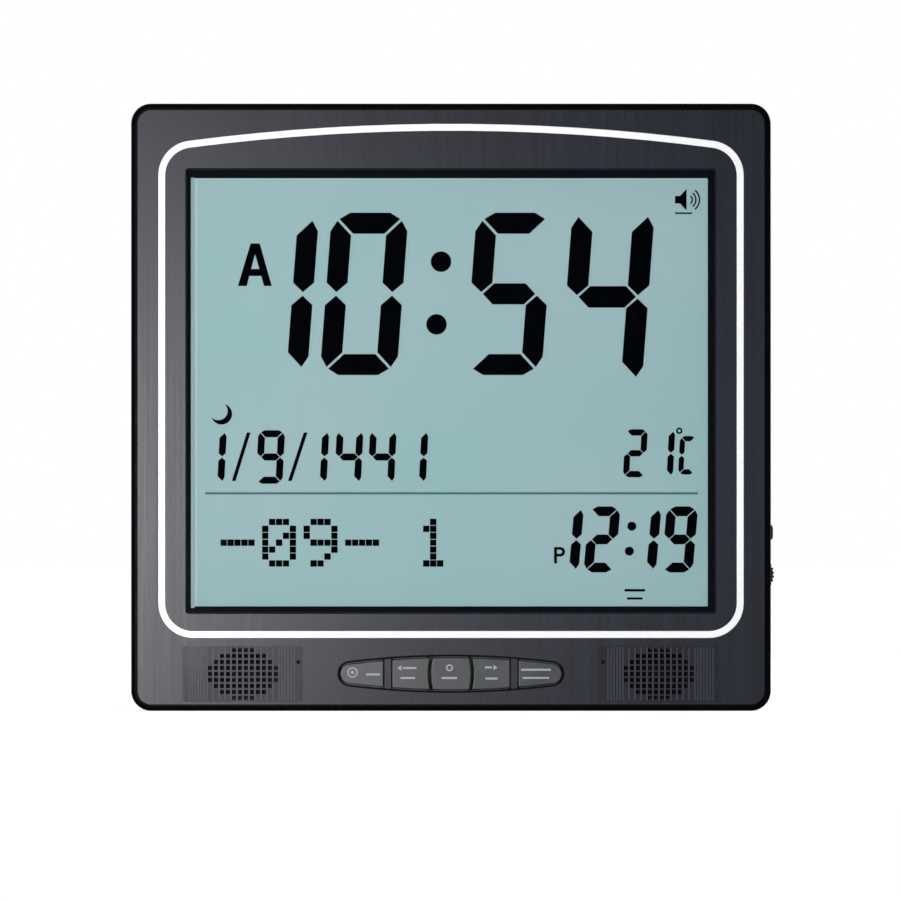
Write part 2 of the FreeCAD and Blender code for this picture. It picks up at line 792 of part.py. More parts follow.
def make_front_bezel():
    body = plate("front_bezel_shell", "face_y", "bezel_depth",
                 "case_width", "case_height", "case_corner", z="middle_level")
    dress(body, "Fillet", "front_edge_round", at_y(number("face_y")), "front_round")
    rectangle_hole(body, "bezel_hollow", "inner_y", "bezel_depth - wall", "case_width - 2 * wall",
                   "case_height - 2 * wall", "case_corner - wall", z="middle_level")
    opening = new_sketch(body, "window_opening", "face_y", z="opening_centre")
    add_rounded_rectangle(opening, "opening_width", "opening_height", "opening_corner")
    pocket(body, opening, "wall")
    face = number("face_y")
    reach = number("opening_width") / 2 + edge_tolerance
    dress(body, "Chamfer", "opening_bevel",
          lambda box: at_y(face)(box) and box.XMax < reach and box.XMin > -reach, "opening_bevel")
    groove = new_sketch(body, "ring_groove", "face_y")
    add_arched_loop(groove, "ring_band / 2 + ring_gap")
    add_arched_loop(groove, "-ring_band / 2 - ring_gap")
    pocket(body, groove, "ring_sunk")
    strip_height = "strip_top - strip_bottom"
    rectangle_hole(body, "strip", "face_y", "strip_depth", "strip_width", strip_height,
                   "strip_corner", z="(strip_top + strip_bottom) / 2")
    rectangle_hole(body, "strip_lip", "face_y", "strip_lip_depth", "strip_width",
                   f"{strip_height} + strip_lip_height", "strip_corner",
                   z="(strip_top + strip_bottom + strip_lip_height) / 2")
    for name, side in (("left", "-"), ("right", "")):
        x = f"{side}speaker_place"
        rectangle_hole(body, f"{name}_grille_seat", "strip_y", "grille_thickness",
                       "grille_width + 2 * grille_gap", "grille_height + 2 * grille_gap",
                       "grille_corner + grille_gap", x, "speaker_level")
        rectangle_hole(body, f"{name}_sound_opening", "grille_back_y", "inner_y - grille_back_y",
                       "sound_width", "sound_height", "sound_corner", x, "speaker_level")
    pod = new_sketch(body, "key_pod", "strip_y", z="pod_level")
    add_boat(pod, "0")
    pocket(body, pod, "pod_depth")

    bosses = []
    holes = []
    for index, (x, z) in enumerate(case_screw_places):
        bosses.append(rod(f"case_boss_{index}", "case_boss_radius", "y", "inner_y", "part_y", x=x, z=z))
        holes.append(rod(f"case_pilot_{index}", "case_pilot_radius + screw_gap", "y",
                         "counterbore_floor - case_screw_length - case_pilot_spare", "part_y", x=x, z=z))
    for index, (x, z) in enumerate(board_screw_places):
        bosses.append(rod(f"board_boss_{index}", "boss_radius", "y", "inner_y", "board_y", x=x, z=z))
        holes.append(rod(f"board_pilot_{index}", "pilot_radius + screw_gap", "y",
                         "inner_y", "board_y", x=x, z=z))
    for index, (x, z) in enumerate(key_screw_places):
        bosses.append(rod(f"key_boss_{index}", "key_boss_radius", "y", "inner_y", "key_board_y", x=x, z=z))
        holes.append(rod(f"key_pilot_{index}", "key_pilot_radius + screw_gap", "y",
                         "inner_y", "key_board_y", x=x, z=z))
    for index, side in enumerate(("-", "")):
        holes.append(rod(f"pinhole_{index}", "pinhole_radius", "y", "face_y", "inner_y",
                         x=f"{side}pinhole_place", z="pinhole_level"))
    margin = "(key_margin - key_clearance)"
    well = boat_block("key_opening_outline", margin, "strip_y", "inner_y")
    far = "far_key_inner - key_clearance"
    near = "side_key_reach + key_clearance"
    holes.append(pod_span("far_left_key_opening", well, "-pod_length", f"-({far})", "strip_y", "inner_y"))
    holes.append(pod_span("middle_key_opening", well, f"-({near})", near, "strip_y", "inner_y"))
    holes.append(pod_span("far_right_key_opening", well, far, "pod_length", "strip_y", "inner_y"))
    return cut("front_bezel", fuse("front_bezel_blank", [body, *bosses]), holes)


def make_trim_ring():
    body = new_body("trim_ring")
    band = new_sketch(body, "ring_outline", "face_y - ring_proud")
    add_arched_loop(band, "ring_band / 2")
    add_arched_loop(band, "-ring_band / 2")
    pad(body, band, "ring_sunk + ring_proud")
    dress(body, "Fillet", "ring_edge_round", at_y(number("face_y - ring_proud")), "ring_round")
    return body


def make_display_window():
    overlap = "2 * window_overlap"
    return plate("display_window", "inner_y", "window_thickness", f"opening_width + {overlap}",
                 f"opening_height + {overlap}", "window_corner", z="opening_centre")


# The display, from front to back.

def make_lcd_frame():
    body = plate("lcd_frame", "window_back_y", "board_y - window_back_y", "frame_width",
                 "frame_height", "frame_wall", z="view_centre")
    rectangle_hole(body, "view_opening", "window_back_y", "frame_lip", "view_width",
                   "view_height", "frame_lip / 2", z="view_centre")
    rectangle_hole(body, "glass_pocket", "lip_back_y", "board_y - lip_back_y", "pocket_width",
                   "pocket_height", "frame_lip / 2", z="view_centre")
    return body


def make_display_glass():
    inner_height = "glass_height - 2 * glass_ledge"
    corner = "glass_gap"
    front = plate("lcd_front_glass", "lip_back_y", "glass_thickness", "glass_width",
                  "glass_height", corner, z="view_centre")
    rear = plate("lcd_rear_glass", "front_glass_back_y", "glass_thickness", "glass_width",
                 inner_height, corner, z="view_centre")
    film = plate("rear_polariser", "rear_glass_back_y", "film_thickness", "guide_width",
                 inner_height, corner, z="view_centre")
    guide = plate("light_guide", "film_back_y", "guide_thickness", "guide_width",
                  "guide_height", corner, z="view_centre")
    return [front, rear, film, guide]


def make_backlight_leds():
    leds = []
    for row in (-1, 0, 1):
        level = f"view_centre + {row} * led_spacing"
        leds.append(block(f"led_{row + 1}",
                          ("guide_width / 2 + led_gap", "guide_width / 2 + led_gap + led_width"),
                          ("board_y - led_depth", "board_y"),
                          (f"{level} - led_height / 2", f"{level} + led_height / 2")))
    return group("backlight_leds", leds)


def make_zebra_strips():
    strips = []
    for index, side in enumerate(("-", "+")):
        level = f"view_centre {side} contact_strip_place"
        strips.append(block(f"zebra_strip_{index}",
                            ("-contact_strip_length / 2", "contact_strip_length / 2"),
                            ("front_glass_back_y", "board_y"),
                            (f"{level} - contact_strip_width / 2", f"{level} + contact_strip_width / 2")))
    return group("zebra_strips", strips)


# The boards and what stands on them.

def make_main_board():
    body = plate("main_board_panel", "board_y", "board_thickness", "board_width",
                 "board_height", "window_corner", z="view_centre")
    tab = block("board_tab", ("board_width / 2 - board_tab_root", "board_tab_reach"),
                ("board_y", "board_back_y"), ("board_tab_bottom", "board_tab_top"))
    holes = [rod(f"board_hole_{index}", "pilot_radius + screw_gap", "y", "board_y", "board_back_y",
                 x=x, z=z) for index, (x, z) in enumerate(board_screw_places)]
    return cut("main_board", fuse("main_board_blank", [body, tab]), holes)


def make_screws():
    board = [screw(f"board_screw_{index}", x, "board_back_y", z, "pilot_radius", "screw_length",
                   "screw_head_radius", "screw_head_height")
             for index, (x, z) in enumerate(board_screw_places)]
    keys = [screw(f"key_screw_{index}", x, "key_board_back_y", z, "key_pilot_radius",
                  "key_screw_length", "key_screw_head", "screw_head_height")
            for index, (x, z) in enumerate(key_screw_places)]
    case = [screw(f"case_screw_{index}", x, "counterbore_floor", z, "case_pilot_radius",
                  "case_screw_length", "case_head_radius", "case_head_height")
            for index, (x, z) in enumerate(case_screw_places)]
    return [group("board_screws", board), group("key_board_screws", keys), group("case_screws", case)]


def make_board_parts():
    blob = rod("controller_blank", "controller_radius", "y", "board_back_y",
               "board_back_y + controller_height", x="0", z="controller_level")
    top = number("board_back_y + controller_height")
    controller = round_edges("controller_blob", blob, at_y(top), "controller_round")
    audio = block("audio_chip",
                  ("-audio_chip_place - audio_chip_width / 2", "-audio_chip_place + audio_chip_width / 2"),
                  ("board_back_y", "board_back_y + audio_chip_height"),
                  ("controller_level - audio_chip_length / 2", "controller_level + audio_chip_length / 2"))
    crystal = rod("clock_crystal", "crystal_radius", "x", "crystal_place", "crystal_place + crystal_length",
                  y="board_back_y + crystal_radius", z="controller_level")
    capacitors = []
    for index in range(3):
        x = f"-capacitor_place - {index} * capacitor_spacing"
        capacitors.append(rod(f"capacitor_{index}", "capacitor_radius", "y", "board_back_y",
                              "board_back_y + capacitor_length", x=x,
                              z="controller_level - capacitor_drop"))
    return [controller, audio, crystal, group("capacitors", capacitors)]


key_places = {
    "far_left": "-far_plunger_place",
    "left": "-side_plunger_place",
    "centre": "0",
    "right": "side_plunger_place",
    "far_right": "far_plunger_place",
}


def make_key_board():
    panel = block("key_board_panel", ("-key_board_width / 2", "key_board_width / 2"),
                  ("key_board_y", "key_board_back_y"), ("key_board_bottom", "key_board_top"))
    holes = [rod(f"key_board_hole_{index}", "key_pilot_radius + screw_gap", "y", "key_board_y",
                 "key_board_back_y", x=x, z=z) for index, (x, z) in enumerate(key_screw_places)]
    board = cut("key_board", panel, holes)
    switches = []
    for name, x in key_places.items():
        body = block(f"{name}_switch_body", (f"{x} - switch_width / 2", f"{x} + switch_width / 2"),
                     ("switch_y", "key_board_y"),
                     ("pod_level - switch_width / 2", "pod_level + switch_width / 2"))
        well = rod(f"{name}_switch_well", "plunger_radius + plunger_gap", "y", "switch_y",
                   "switch_y + plunger_sunk + key_travel + switch_spare", x=x, z="pod_level")
        switches.append(cut(f"{name}_switch", body, [well]))
    reset = fuse("reset_switch", [
        block("reset_body", ("-pinhole_place - reset_width / 2", "-pinhole_place + reset_width / 2"),
              ("switch_y", "key_board_y"),
              ("pinhole_level - reset_width / 2", "pinhole_level + reset_width / 2")),
        rod("reset_plunger", "pinhole_radius", "y", "switch_y - switch_rise", "switch_y",
            x="-pinhole_place", z="pinhole_level"),
    ])
    bead_y = "inner_y + sensor_stand"
    legs = [rod(f"sensor_leg_{index}", "sensor_leg_radius", "y", f"{bead_y} + sensor_length / 2",
                "key_board_y", x=f"pinhole_place {side} sensor_radius / 2", z="pinhole_level")
            for index, side in enumerate(("-", "+"))]
    bead = rod("sensor_bead", "sensor_radius", "y", bead_y, f"{bead_y} + sensor_length",
               x="pinhole_place", z="pinhole_level")
    sensor = fuse("temperature_sensor", [bead, *legs])
    return [board, group("key_switches", switches), reset, sensor]


def make_board_link():
    # A flat ribbon of wires, glued to the backs of both boards, that steps back between them.
    body = new_body("board_link")
    sketch = body.newObject("Sketcher::SketchObject", "link_side")
    plane = next(item for item in body.Origin.OriginFeatures if item.Role == "YZ_Plane")
    sketch.AttachmentSupport = [(plane, "")]
    sketch.MapMode = "FlatFace"
    bind(sketch, {"AttachmentOffset.Base.z": "link_place - link_width / 2"})
    low = "key_board_top - link_overlap"
    bend = "key_board_top + link_low_step"
    step = "view_centre - board_height / 2 - link_high_step"
    high = "view_centre - board_height / 2 + link_overlap"
    front = [("key_board_back_y", low), ("key_board_back_y", bend),
             ("board_back_y", step), ("board_back_y", high)]
    outline = front + [(f"{y} + link_thickness", z) for y, z in reversed(front)]
    points = [Vector(number(y), number(z), 0) for y, z in outline]
    count = len(points)
    for index in range(count):
        sketch.addGeometry(Part.LineSegment(points[index], points[(index + 1) % count]), False)
    for index, (y, z) in enumerate(outline):
        constrain(sketch, "Coincident", index, 2, (index + 1) % count, 1)
    for index, (y, z) in enumerate(outline):
        constrain(sketch, "DistanceX", -1, 1, index, 1, number(y), formula=y)
        constrain(sketch, "DistanceY", -1, 1, index, 1, number(z), formula=z)
    feature = body.newObject("PartDesign::Pad", "link_pad")
    feature.Profile = sketch
    bind(feature, {"Length": "link_width"})
    doc.recompute()
    return body


# The keys. Each one has a cap that stands in its opening, and a flange behind the wall that
# stops it from falling out.

def finish_key(name, cap, flange_low, flange_high):
    front = number("key_front_y")
    crown = round_edges(f"{name}_key_crown", cap, at_y(front), "key_round")
    flange = block(f"{name}_key_flange", (flange_low, flange_high), ("flange_y", "flange_back_y"),
                   ("pod_level - flange_height / 2", "pod_level + flange_height / 2"))
    return fuse(f"{name}_key", [crown, flange])


def make_keys():
    span = ("key_front_y", "flange_y + flange_thickness / 2")
    outline = boat_block("key_outline", "key_margin", *span)
    centre_cap = common("centre_key_cap", outline, barrel("centre_key_barrel_shape", "0", *span))
    keys = [finish_key("centre", centre_cap, "-centre_flange_width / 2", "centre_flange_width / 2")]
    neighbour = barrel("centre_key_surround", "key_gap", *span)
    for name, mirror in (("left", -1), ("right", 1)):
        ends = sorted((0, mirror))
        low, high = (f"{end} * side_key_reach" for end in ends)
        piece = pod_span(f"{name}_key_piece", outline, low, high, *span)
        cap = cut(f"{name}_key_cap", piece, [neighbour])
        near = f"{mirror} * (centre_key_width / 2 + key_gap + flange_inset)"
        far = f"{mirror} * (side_key_reach - flange_inset)"
        low, high = (far, near) if mirror < 0 else (near, far)
        keys.append(finish_key(name, cap, low, high))
        near = f"{mirror} * far_key_inner"
        far = f"{mirror} * pod_length"
        low, high = (far, near) if mirror < 0 else (near, far)
        cap = pod_span(f"far_{name}_key_cap", outline, low, high, *span)
        near = f"{mirror} * (far_key_inner + flange_inset)"
        far = f"{mirror} * far_flange_end"
        low, high = (far, near) if mirror < 0 else (near, far)
        keys.append(finish_key(f"far_{name}", cap, low, high))
    plungers = [rod(f"{name}_key_plunger", "plunger_radius", "y", "flange_back_y",
                    "switch_y + plunger_sunk", x=x, z="pod_level")
                for name, x in key_places.items()]
    return keys + plungers


# The loudspeakers and their grilles.

def make_grille(name, side):
    panel = plate(f"{name}_grille_panel", "strip_y", "grille_thickness", "grille_width",
                  "grille_height", "grille_corner", f"{side}speaker_place", "speaker_level")
    holes = doc.addObject("Part::Feature", f"{name}_grille_holes")
    pitch, hole = number("hole_pitch"), number("hole_side")
    depth = number("grille_thickness")
    centre = Vector(number(f"{side}speaker_place"), number("strip_y"), number("speaker_level"))
    boxes = []
    for row, count in enumerate(hole_rows):
        z = (row - (len(hole_rows) - 1) / 2) * pitch - hole / 2
        for column in range(count):
            x = (column - (count - 1) / 2) * pitch - hole / 2
            boxes.append(Part.makeBox(hole, depth, hole, centre + Vector(x, 0, z)))
    holes.Shape = Part.makeCompound(boxes)
    pinhole = rod(f"{name}_grille_pinhole", "pinhole_radius", "y", "strip_y", "grille_back_y",
                  x=f"{side}pinhole_place", z="pinhole_level")
    return cut(f"{name}_grille", panel, [holes, pinhole])


def make_speaker(name, side):
    x, z = f"{side}speaker_place", "speaker_level"
    seat = plate(f"{name}_speaker_gasket", "inner_y", "gasket_thickness", "speaker_width",
                 "speaker_height", "speaker_corner", x, z)
    band = "2 * gasket_band"
    rectangle_hole(seat, f"{name}_gasket_hole", "inner_y", "gasket_thickness", f"speaker_width - {band}",
                   f"speaker_height - {band}", "speaker_corner - gasket_band", x, z)
    frame = plate(f"{name}_speaker_frame", "gasket_back_y", "speaker_depth", "speaker_width",
                  "speaker_height", "speaker_corner", x, z)
    wall = "2 * speaker_wall"
    rectangle_hole(frame, f"{name}_basket", "gasket_back_y", "speaker_depth - speaker_floor",
                   f"speaker_width - {wall}", f"speaker_height - {wall}", "speaker_corner - speaker_wall", x, z)
    magnet = new_body(f"{name}_speaker_magnet")
    sketch = new_sketch(magnet, f"{name}_magnet_outline", "speaker_back_y", x, z)
    add_circle(sketch, "magnet_radius")
    pad(magnet, sketch, "magnet_depth")
    back = number("speaker_back_y + magnet_depth")
    dress(magnet, "Chamfer", f"{name}_magnet_edge", at_y(back), "speaker_floor")
    return [seat, frame, magnet, make_cone(name, x, z)]


def make_cone(name, x, z):
    # A shallow oval cone, hollow at the front, that rests in the frame's rim.
    body = new_body(f"{name}_speaker_cone")
    loft_sizes = {
        "AdditiveLoft": ("0", "0"),
        "SubtractiveLoft": ("cone_skin", "cone_skin"),
    }
    for kind, (skin, lift) in loft_sizes.items():
        mouth = new_sketch(body, f"{name}_{kind}_mouth", "gasket_back_y", x, z)
        shrink = f"2 * (speaker_wall + cone_rim_gap + {skin})"
        add_rounded_rectangle(mouth, f"speaker_width - ({shrink})", f"speaker_height - ({shrink})",
                              f"speaker_corner - speaker_wall - {skin}")
        throat = new_sketch(body, f"{name}_{kind}_throat", f"gasket_back_y + cone_depth - {lift}", x, z)
        add_rounded_rectangle(throat, f"cone_throat_width - 2 * {skin}", f"cone_throat_height - 2 * {skin}",
                              f"cone_throat_corner - {skin}")
        doc.recompute()
        loft = body.newObject(f"PartDesign::{kind}", f"{name}_{kind}")
        loft.Profile = mouth
        loft.Sections = [throat]
        loft.Ruled = True
        doc.recompute()
    return body


# The side controls.

def make_side_controls():
    wheel = new_body("volume_wheel")
    disc = new_sketch(wheel, "wheel_disc", "wheel_front_y")
    add_circle(disc, "wheel_radius")
    pad(wheel, disc, "wheel_thickness")
    notch = new_sketch(wheel, "wheel_notch", "wheel_front_y", x="wheel_radius")
    add_circle(notch, "notch_radius")
    first = pocket(wheel, notch, "wheel_thickness")
    pattern = wheel.newObject("PartDesign::PolarPattern", "wheel_notches")
    pattern.Originals = [first]
    axis = next(item for item in wheel.Origin.OriginFeatures if item.Role == "Y_Axis")
    pattern.Axis = (axis, [""])
    pattern.Angle = 360
    bind(pattern, {"Occurrences": "wheel_notches"})
    wheel.Tip = pattern
    stub = new_sketch(wheel, "wheel_stub", "wheel_front_y - wheel_stub_length")
    add_circle(stub, "wheel_stub_radius")
    pad(wheel, stub, "wheel_stub_length")
    bind(wheel, {"Placement.Base.x": "wheel_x", "Placement.Base.z": "wheel_level"})
    pot_body = block("pot_body", ("wheel_x - pot_width / 2", "wheel_x + pot_width / 2"),
                     ("board_back_y", "wheel_front_y - wheel_float"),
                     ("wheel_level - pot_height / 2", "wheel_level + pot_height / 2"))
    pot_bore = rod("pot_bore", "wheel_stub_radius + wheel_stub_gap", "y",
                   "wheel_front_y - wheel_stub_length - wheel_stub_spare", "wheel_front_y",
                   x="wheel_x", z="wheel_level")
    pot = cut("volume_pot", pot_body, [pot_bore])

    tip = rod("button_tip", "button_radius", "x", "button_flange_x - button_flange_thickness / 2",
              "side_x + button_proud", y="control_y", z="button_level")
    doc.recompute()
    end = number("side_x + button_proud")
    dome = round_edges("button_dome", tip, lambda box: abs(box.XMin - end) < 1e-4, "button_dome")
    flange = rod("button_flange", "button_flange_radius", "x", "button_flange_x - button_flange_thickness",
                 "button_flange_x", y="control_y", z="button_level")
    stem = rod("button_stem", "button_stem_radius", "x", "side_switch_face - button_stem_sunk",
               "button_flange_x", y="control_y", z="button_level")
    button = fuse("side_button", [dome, flange, stem])
    switch_body = block("side_switch_body", ("side_switch_face - side_switch_width", "side_switch_face"),
                        ("board_back_y", "control_y + button_stem_radius + side_switch_wall"),
                        ("button_level - side_switch_height / 2", "button_level + side_switch_height / 2"))
    switch_well = rod("side_switch_well", "button_stem_radius + button_stem_gap", "x",
                      "side_switch_face - button_stem_sunk - button_travel - switch_spare",
                      "side_switch_face", y="control_y", z="button_level")
    switch = cut("side_switch", switch_body, [switch_well])
    return [wheel, pot, button, switch]


# The back half of the case.

def make_rear_case():
    body = plate("rear_case_shell", "part_y", "back_y - part_y", "case_width", "case_height",
                 "case_corner", z="middle_level")
    dress(body, "Fillet", "back_edge_round", at_y(number("back_y")), "back_round")
    rectangle_hole(body, "rear_hollow", "part_y", "rear_inner_y - part_y", "case_width - 2 * wall",
                   "case_height - 2 * wall", "case_corner - wall", z="middle_level")
    tongue = plate("case_tongue_band", "part_y - tongue_height", "tongue_height + wall",
                   "case_width - 2 * wall - 2 * tongue_gap", "case_height - 2 * wall - 2 * tongue_gap",
                   "case_corner - wall - tongue_gap", z="middle_level")
    inset = "2 * (wall + tongue_gap + tongue_thickness)"
    rectangle_hole(tongue, "tongue_hollow", "part_y - tongue_height", "tongue_height + wall",
                   f"case_width - {inset}", f"case_height - {inset}",
                   "case_corner - wall - tongue_gap - tongue_thickness", z="middle_level")
    # The band stands a little off the wall, so a shoulder joins it to the wall behind the edge.
    shoulder = plate("tongue_shoulder", "part_y", "wall", "case_width - wall", "case_height - wall",
                     "case_corner - wall / 2", z="middle_level")
    rectangle_hole(shoulder, "shoulder_hollow", "part_y", "wall", f"case_width - {inset}",
                   f"case_height - {inset}", "case_corner - wall - tongue_gap - tongue_thickness",
                   z="middle_level")

    solids = [body, tongue, shoulder]
    holes = []
    for index, (x, z) in enumerate(case_screw_places):
        solids.append(rod(f"case_tube_{index}", "tube_radius", "y", "part_y", "rear_inner_y", x=x, z=z))
        holes.append(rod(f"counterbore_{index}", "counterbore_radius", "y", "counterbore_floor",
                         "back_y", x=x, z=z))
        holes.append(rod(f"screw_way_{index}", "case_pilot_radius + screw_gap", "y", "part_y",
                         "counterbore_floor", x=x, z=z))
    solids.append(block("bay_outside", ("bay_low_x - bay_wall", "bay_high_x + bay_wall"),
                        ("bay_floor_y - bay_floor", "rear_inner_y"),
                        ("bay_level - bay_height / 2 - bay_wall", "bay_level + bay_height / 2 + bay_wall")))
    holes.append(block("bay_inside", ("bay_low_x", "bay_high_x"), ("bay_floor_y", "back_y"),
                       ("bay_level - bay_height / 2", "bay_level + bay_height / 2")))
    door_seat = plate("door_seat", "door_seat_y", "back_y - door_seat_y", "door_width + 2 * door_gap",
                      "door_height + 2 * door_gap", "door_corner + door_gap", "bay_place", "bay_level")
    holes.append(door_seat)
    for index, side in enumerate(("-", "+")):
        x = f"bay_place {side} door_tab_place"
        slot_reach = "(door_tab_width / 2 + door_tab_gap)"
        holes.append(block(f"door_tab_slot_{index}", (f"{x} - {slot_reach}", f"{x} + {slot_reach}"),
                           ("door_seat_y - door_tab_thickness - door_tab_slot_depth", "door_seat_y"),
                           ("door_bottom - door_tab_reach - door_tab_gap", "bay_level - bay_height / 2")))

    solids.append(block("recess_outside", ("-recess_width / 2 - recess_wall", "recess_width / 2 + recess_wall"),
                        ("recess_y - recess_wall", "rear_inner_y"),
                        ("recess_bottom - recess_wall", "recess_top + recess_wall")))
    notch_high_x = "recess_width / 2 + finger_notch_width"
    notch_top = "recess_bottom + finger_notch_height"
    solids.append(block("notch_outside", ("recess_width / 2", f"{notch_high_x} + recess_wall"),
                        ("recess_y - recess_wall", "rear_inner_y"),
                        ("recess_bottom - recess_wall", f"{notch_top} + recess_wall")))
    holes.append(block("recess_inside", ("-recess_width / 2", "recess_width / 2"),
                       ("recess_y", "back_y"), ("recess_bottom", "recess_top")))
    holes.append(block("notch_inside", ("recess_width / 2", notch_high_x),
                       ("recess_y", "back_y"), ("recess_bottom", notch_top)))
    holes.append(rod("rod_seat", "hinge_radius + hinge_gap", "x", "-rod_reach", "rod_reach",
                     y="hinge_y", z="leg_hinge_level"))

    holes.append(rod("keyhole_entry", "keyhole_radius", "y", "rear_inner_y", "back_y",
                     x="0", z="keyhole_level"))
    holes.append(rod("keyhole_end", "keyhole_slot_radius", "y", "rear_inner_y", "back_y",
                     x="0", z="keyhole_level + keyhole_slot_rise"))
    holes.append(block("keyhole_slot", ("-keyhole_slot_radius", "keyhole_slot_radius"),
                       ("rear_inner_y", "back_y"), ("keyhole_level", "keyhole_level + keyhole_slot_rise")))

    # The tongue and its shoulder stop short of the side controls.
    holes.append(block("control_gap", ("inner_x - control_gap_depth", "inner_x"),
                       ("part_y - tongue_height", "part_y + wall"),
                       ("board_tab_bottom - control_gap_end", "board_tab_top + control_gap_end")))
    slot_reach = "sqrt(wheel_radius * wheel_radius - (inner_x - wheel_x) * (inner_x - wheel_x)) + slot_gap"
    holes.append(block("wheel_slot", ("inner_x - tongue_thickness - tongue_gap", "side_x"),
                       ("wheel_front_y - slot_gap", "wheel_back_y + slot_gap"),
                       (f"wheel_level - ({slot_reach})", f"wheel_level + ({slot_reach})")))
    holes.append(rod("button_hole", "button_radius + button_gap", "x", "inner_x", "side_x",
                     y="control_y", z="button_level"))
    return cut("rear_case", fuse("rear_case_blank", solids), holes)


# The batteries, their contacts and the door over them.

def cell_level(index):
    first = "bay_level - bay_height / 2 + bay_side_gap + cell_radius"
    return f"{first} + {index} * (2 * cell_radius + bay_side_gap)"


def along_bay(flipped, low, high):
    # A span measured from the spring's end of the bay, turned round for a flipped cell.
    if flipped:
        return f"bay_high_x - ({high})", f"bay_high_x - ({low})"
    return f"bay_low_x + {low}", f"bay_low_x + {high}"


def make_cell(index):
    flipped = index % 2 == 1
    z = cell_level(index)
    start = "contact_thickness + spring_length"
    low, high = along_bay(flipped, start, f"{start} + cell_length")
    can = rod(f"cell_can_{index}", "cell_radius", "x", low, high, y="cell_y", z=z)
    low, high = along_bay(flipped, f"{start} + cell_length / 2", f"{start} + cell_length + cell_nub_length")
    nub = rod(f"cell_nub_{index}", "cell_nub_radius", "x", low, high, y="cell_y", z=z)
    return fuse(f"battery_cell_{index + 1}", [can, nub])


def make_batteries():
    cells, contacts, springs = [], [], []
    for index in range(int(number("cell_count"))):
        cells.append(make_cell(index))
        flipped = index % 2 == 1
        z = cell_level(index)
        upright = (f"{z} - contact_width / 2", f"{z} + contact_width / 2")
        across = ("cell_y - contact_width / 2", "cell_y + contact_width / 2")
        low, high = along_bay(flipped, "0", "contact_thickness")
        contacts.append(block(f"negative_contact_{index}", (low, high), across, upright))
        far = "bay_length - contact_thickness"
        low, high = along_bay(flipped, far, "bay_length")
        leaf = block(f"positive_leaf_{index}", (low, high), across, upright)
        low, high = along_bay(flipped, f"{far} - contact_dimple", "bay_length")
        dimple = rod(f"positive_dimple_{index}", "contact_dimple_radius", "x", low, high, y="cell_y", z=z)
        contacts.append(fuse(f"positive_contact_{index}", [leaf, dimple]))
        springs.append(make_spring(index, flipped, z))
    return [*cells, group("battery_contacts", contacts), group("battery_springs", springs)]


def make_spring(index, flipped, z):
    low, _ = along_bay(flipped, "contact_thickness + spring_wire",
                       "contact_thickness + spring_length - spring_wire")
    height = "spring_length - 2 * (spring_wire + spring_end_gap)"
    helix = doc.addObject("Part::Helix", f"spring_line_{index}")
    bind(helix, {"Radius": "spring_radius", "Height": height, "Pitch": f"({height}) / spring_turns"})
    wire = doc.addObject("Part::Circle", f"spring_section_{index}")
    wire.Placement = Placement(Vector(number("spring_radius"), 0, 0), Rotation(Vector(1, 0, 0), 90))
    bind(wire, {"Radius": "spring_wire", "Placement.Base.x": "spring_radius"})
    sweep = doc.addObject("Part::Sweep", f"battery_spring_{index}")
    sweep.Sections = [wire]
    sweep.Spine = helix
    sweep.Solid = True
    sweep.Frenet = True
    sweep.Placement = Placement(Vector(), rod_turns["x"])
    bind(sweep, {"Placement.Base.x": f"{low} + spring_end_gap", "Placement.Base.y": "cell_y",
                 "Placement.Base.z": z})
    return sweep


def make_battery_door():
    body = plate("battery_door_panel", "back_y - door_thickness", "door_thickness", "door_width",
                 "door_height", "door_corner", "bay_place", "bay_level")
    dress(body, "Chamfer", "door_edge_bevel", at_y(number("back_y")), "door_edge")
    tabs = []
    grips = []
    for index, side in enumerate(("-", "+")):
        x = f"bay_place {side} door_tab_place"
        wide = (f"{x} - door_tab_width / 2", f"{x} + door_tab_width / 2")
        tab_back = "rear_inner_y - door_tab_clear"
        tabs.append(block(f"door_tab_{index}", wide, (f"{tab_back} - door_tab_thickness", tab_back),
                          ("door_bottom - door_tab_reach", "door_bottom + door_tab_root + door_overlap")))
        tabs.append(block(f"door_tab_root_{index}", wide,
                          (f"{tab_back} - door_tab_thickness", "back_y - door_thickness + door_tab_sunk"),
                          ("door_bottom + door_tab_root_clear", "door_bottom + door_tab_root + door_overlap")))
    for index in range(int(number("grip_count"))):
        z = f"door_top - grip_inset - {index} * grip_step"
        grips.append(block(f"door_grip_{index}", ("bay_place - grip_width / 2", "bay_place + grip_width / 2"),
                           ("back_y - grip_depth", "back_y"), (f"{z} - grip_height", z)))
    return cut("battery_door", fuse("battery_door_blank", [body, *tabs]), grips)


# The folding leg on the back.

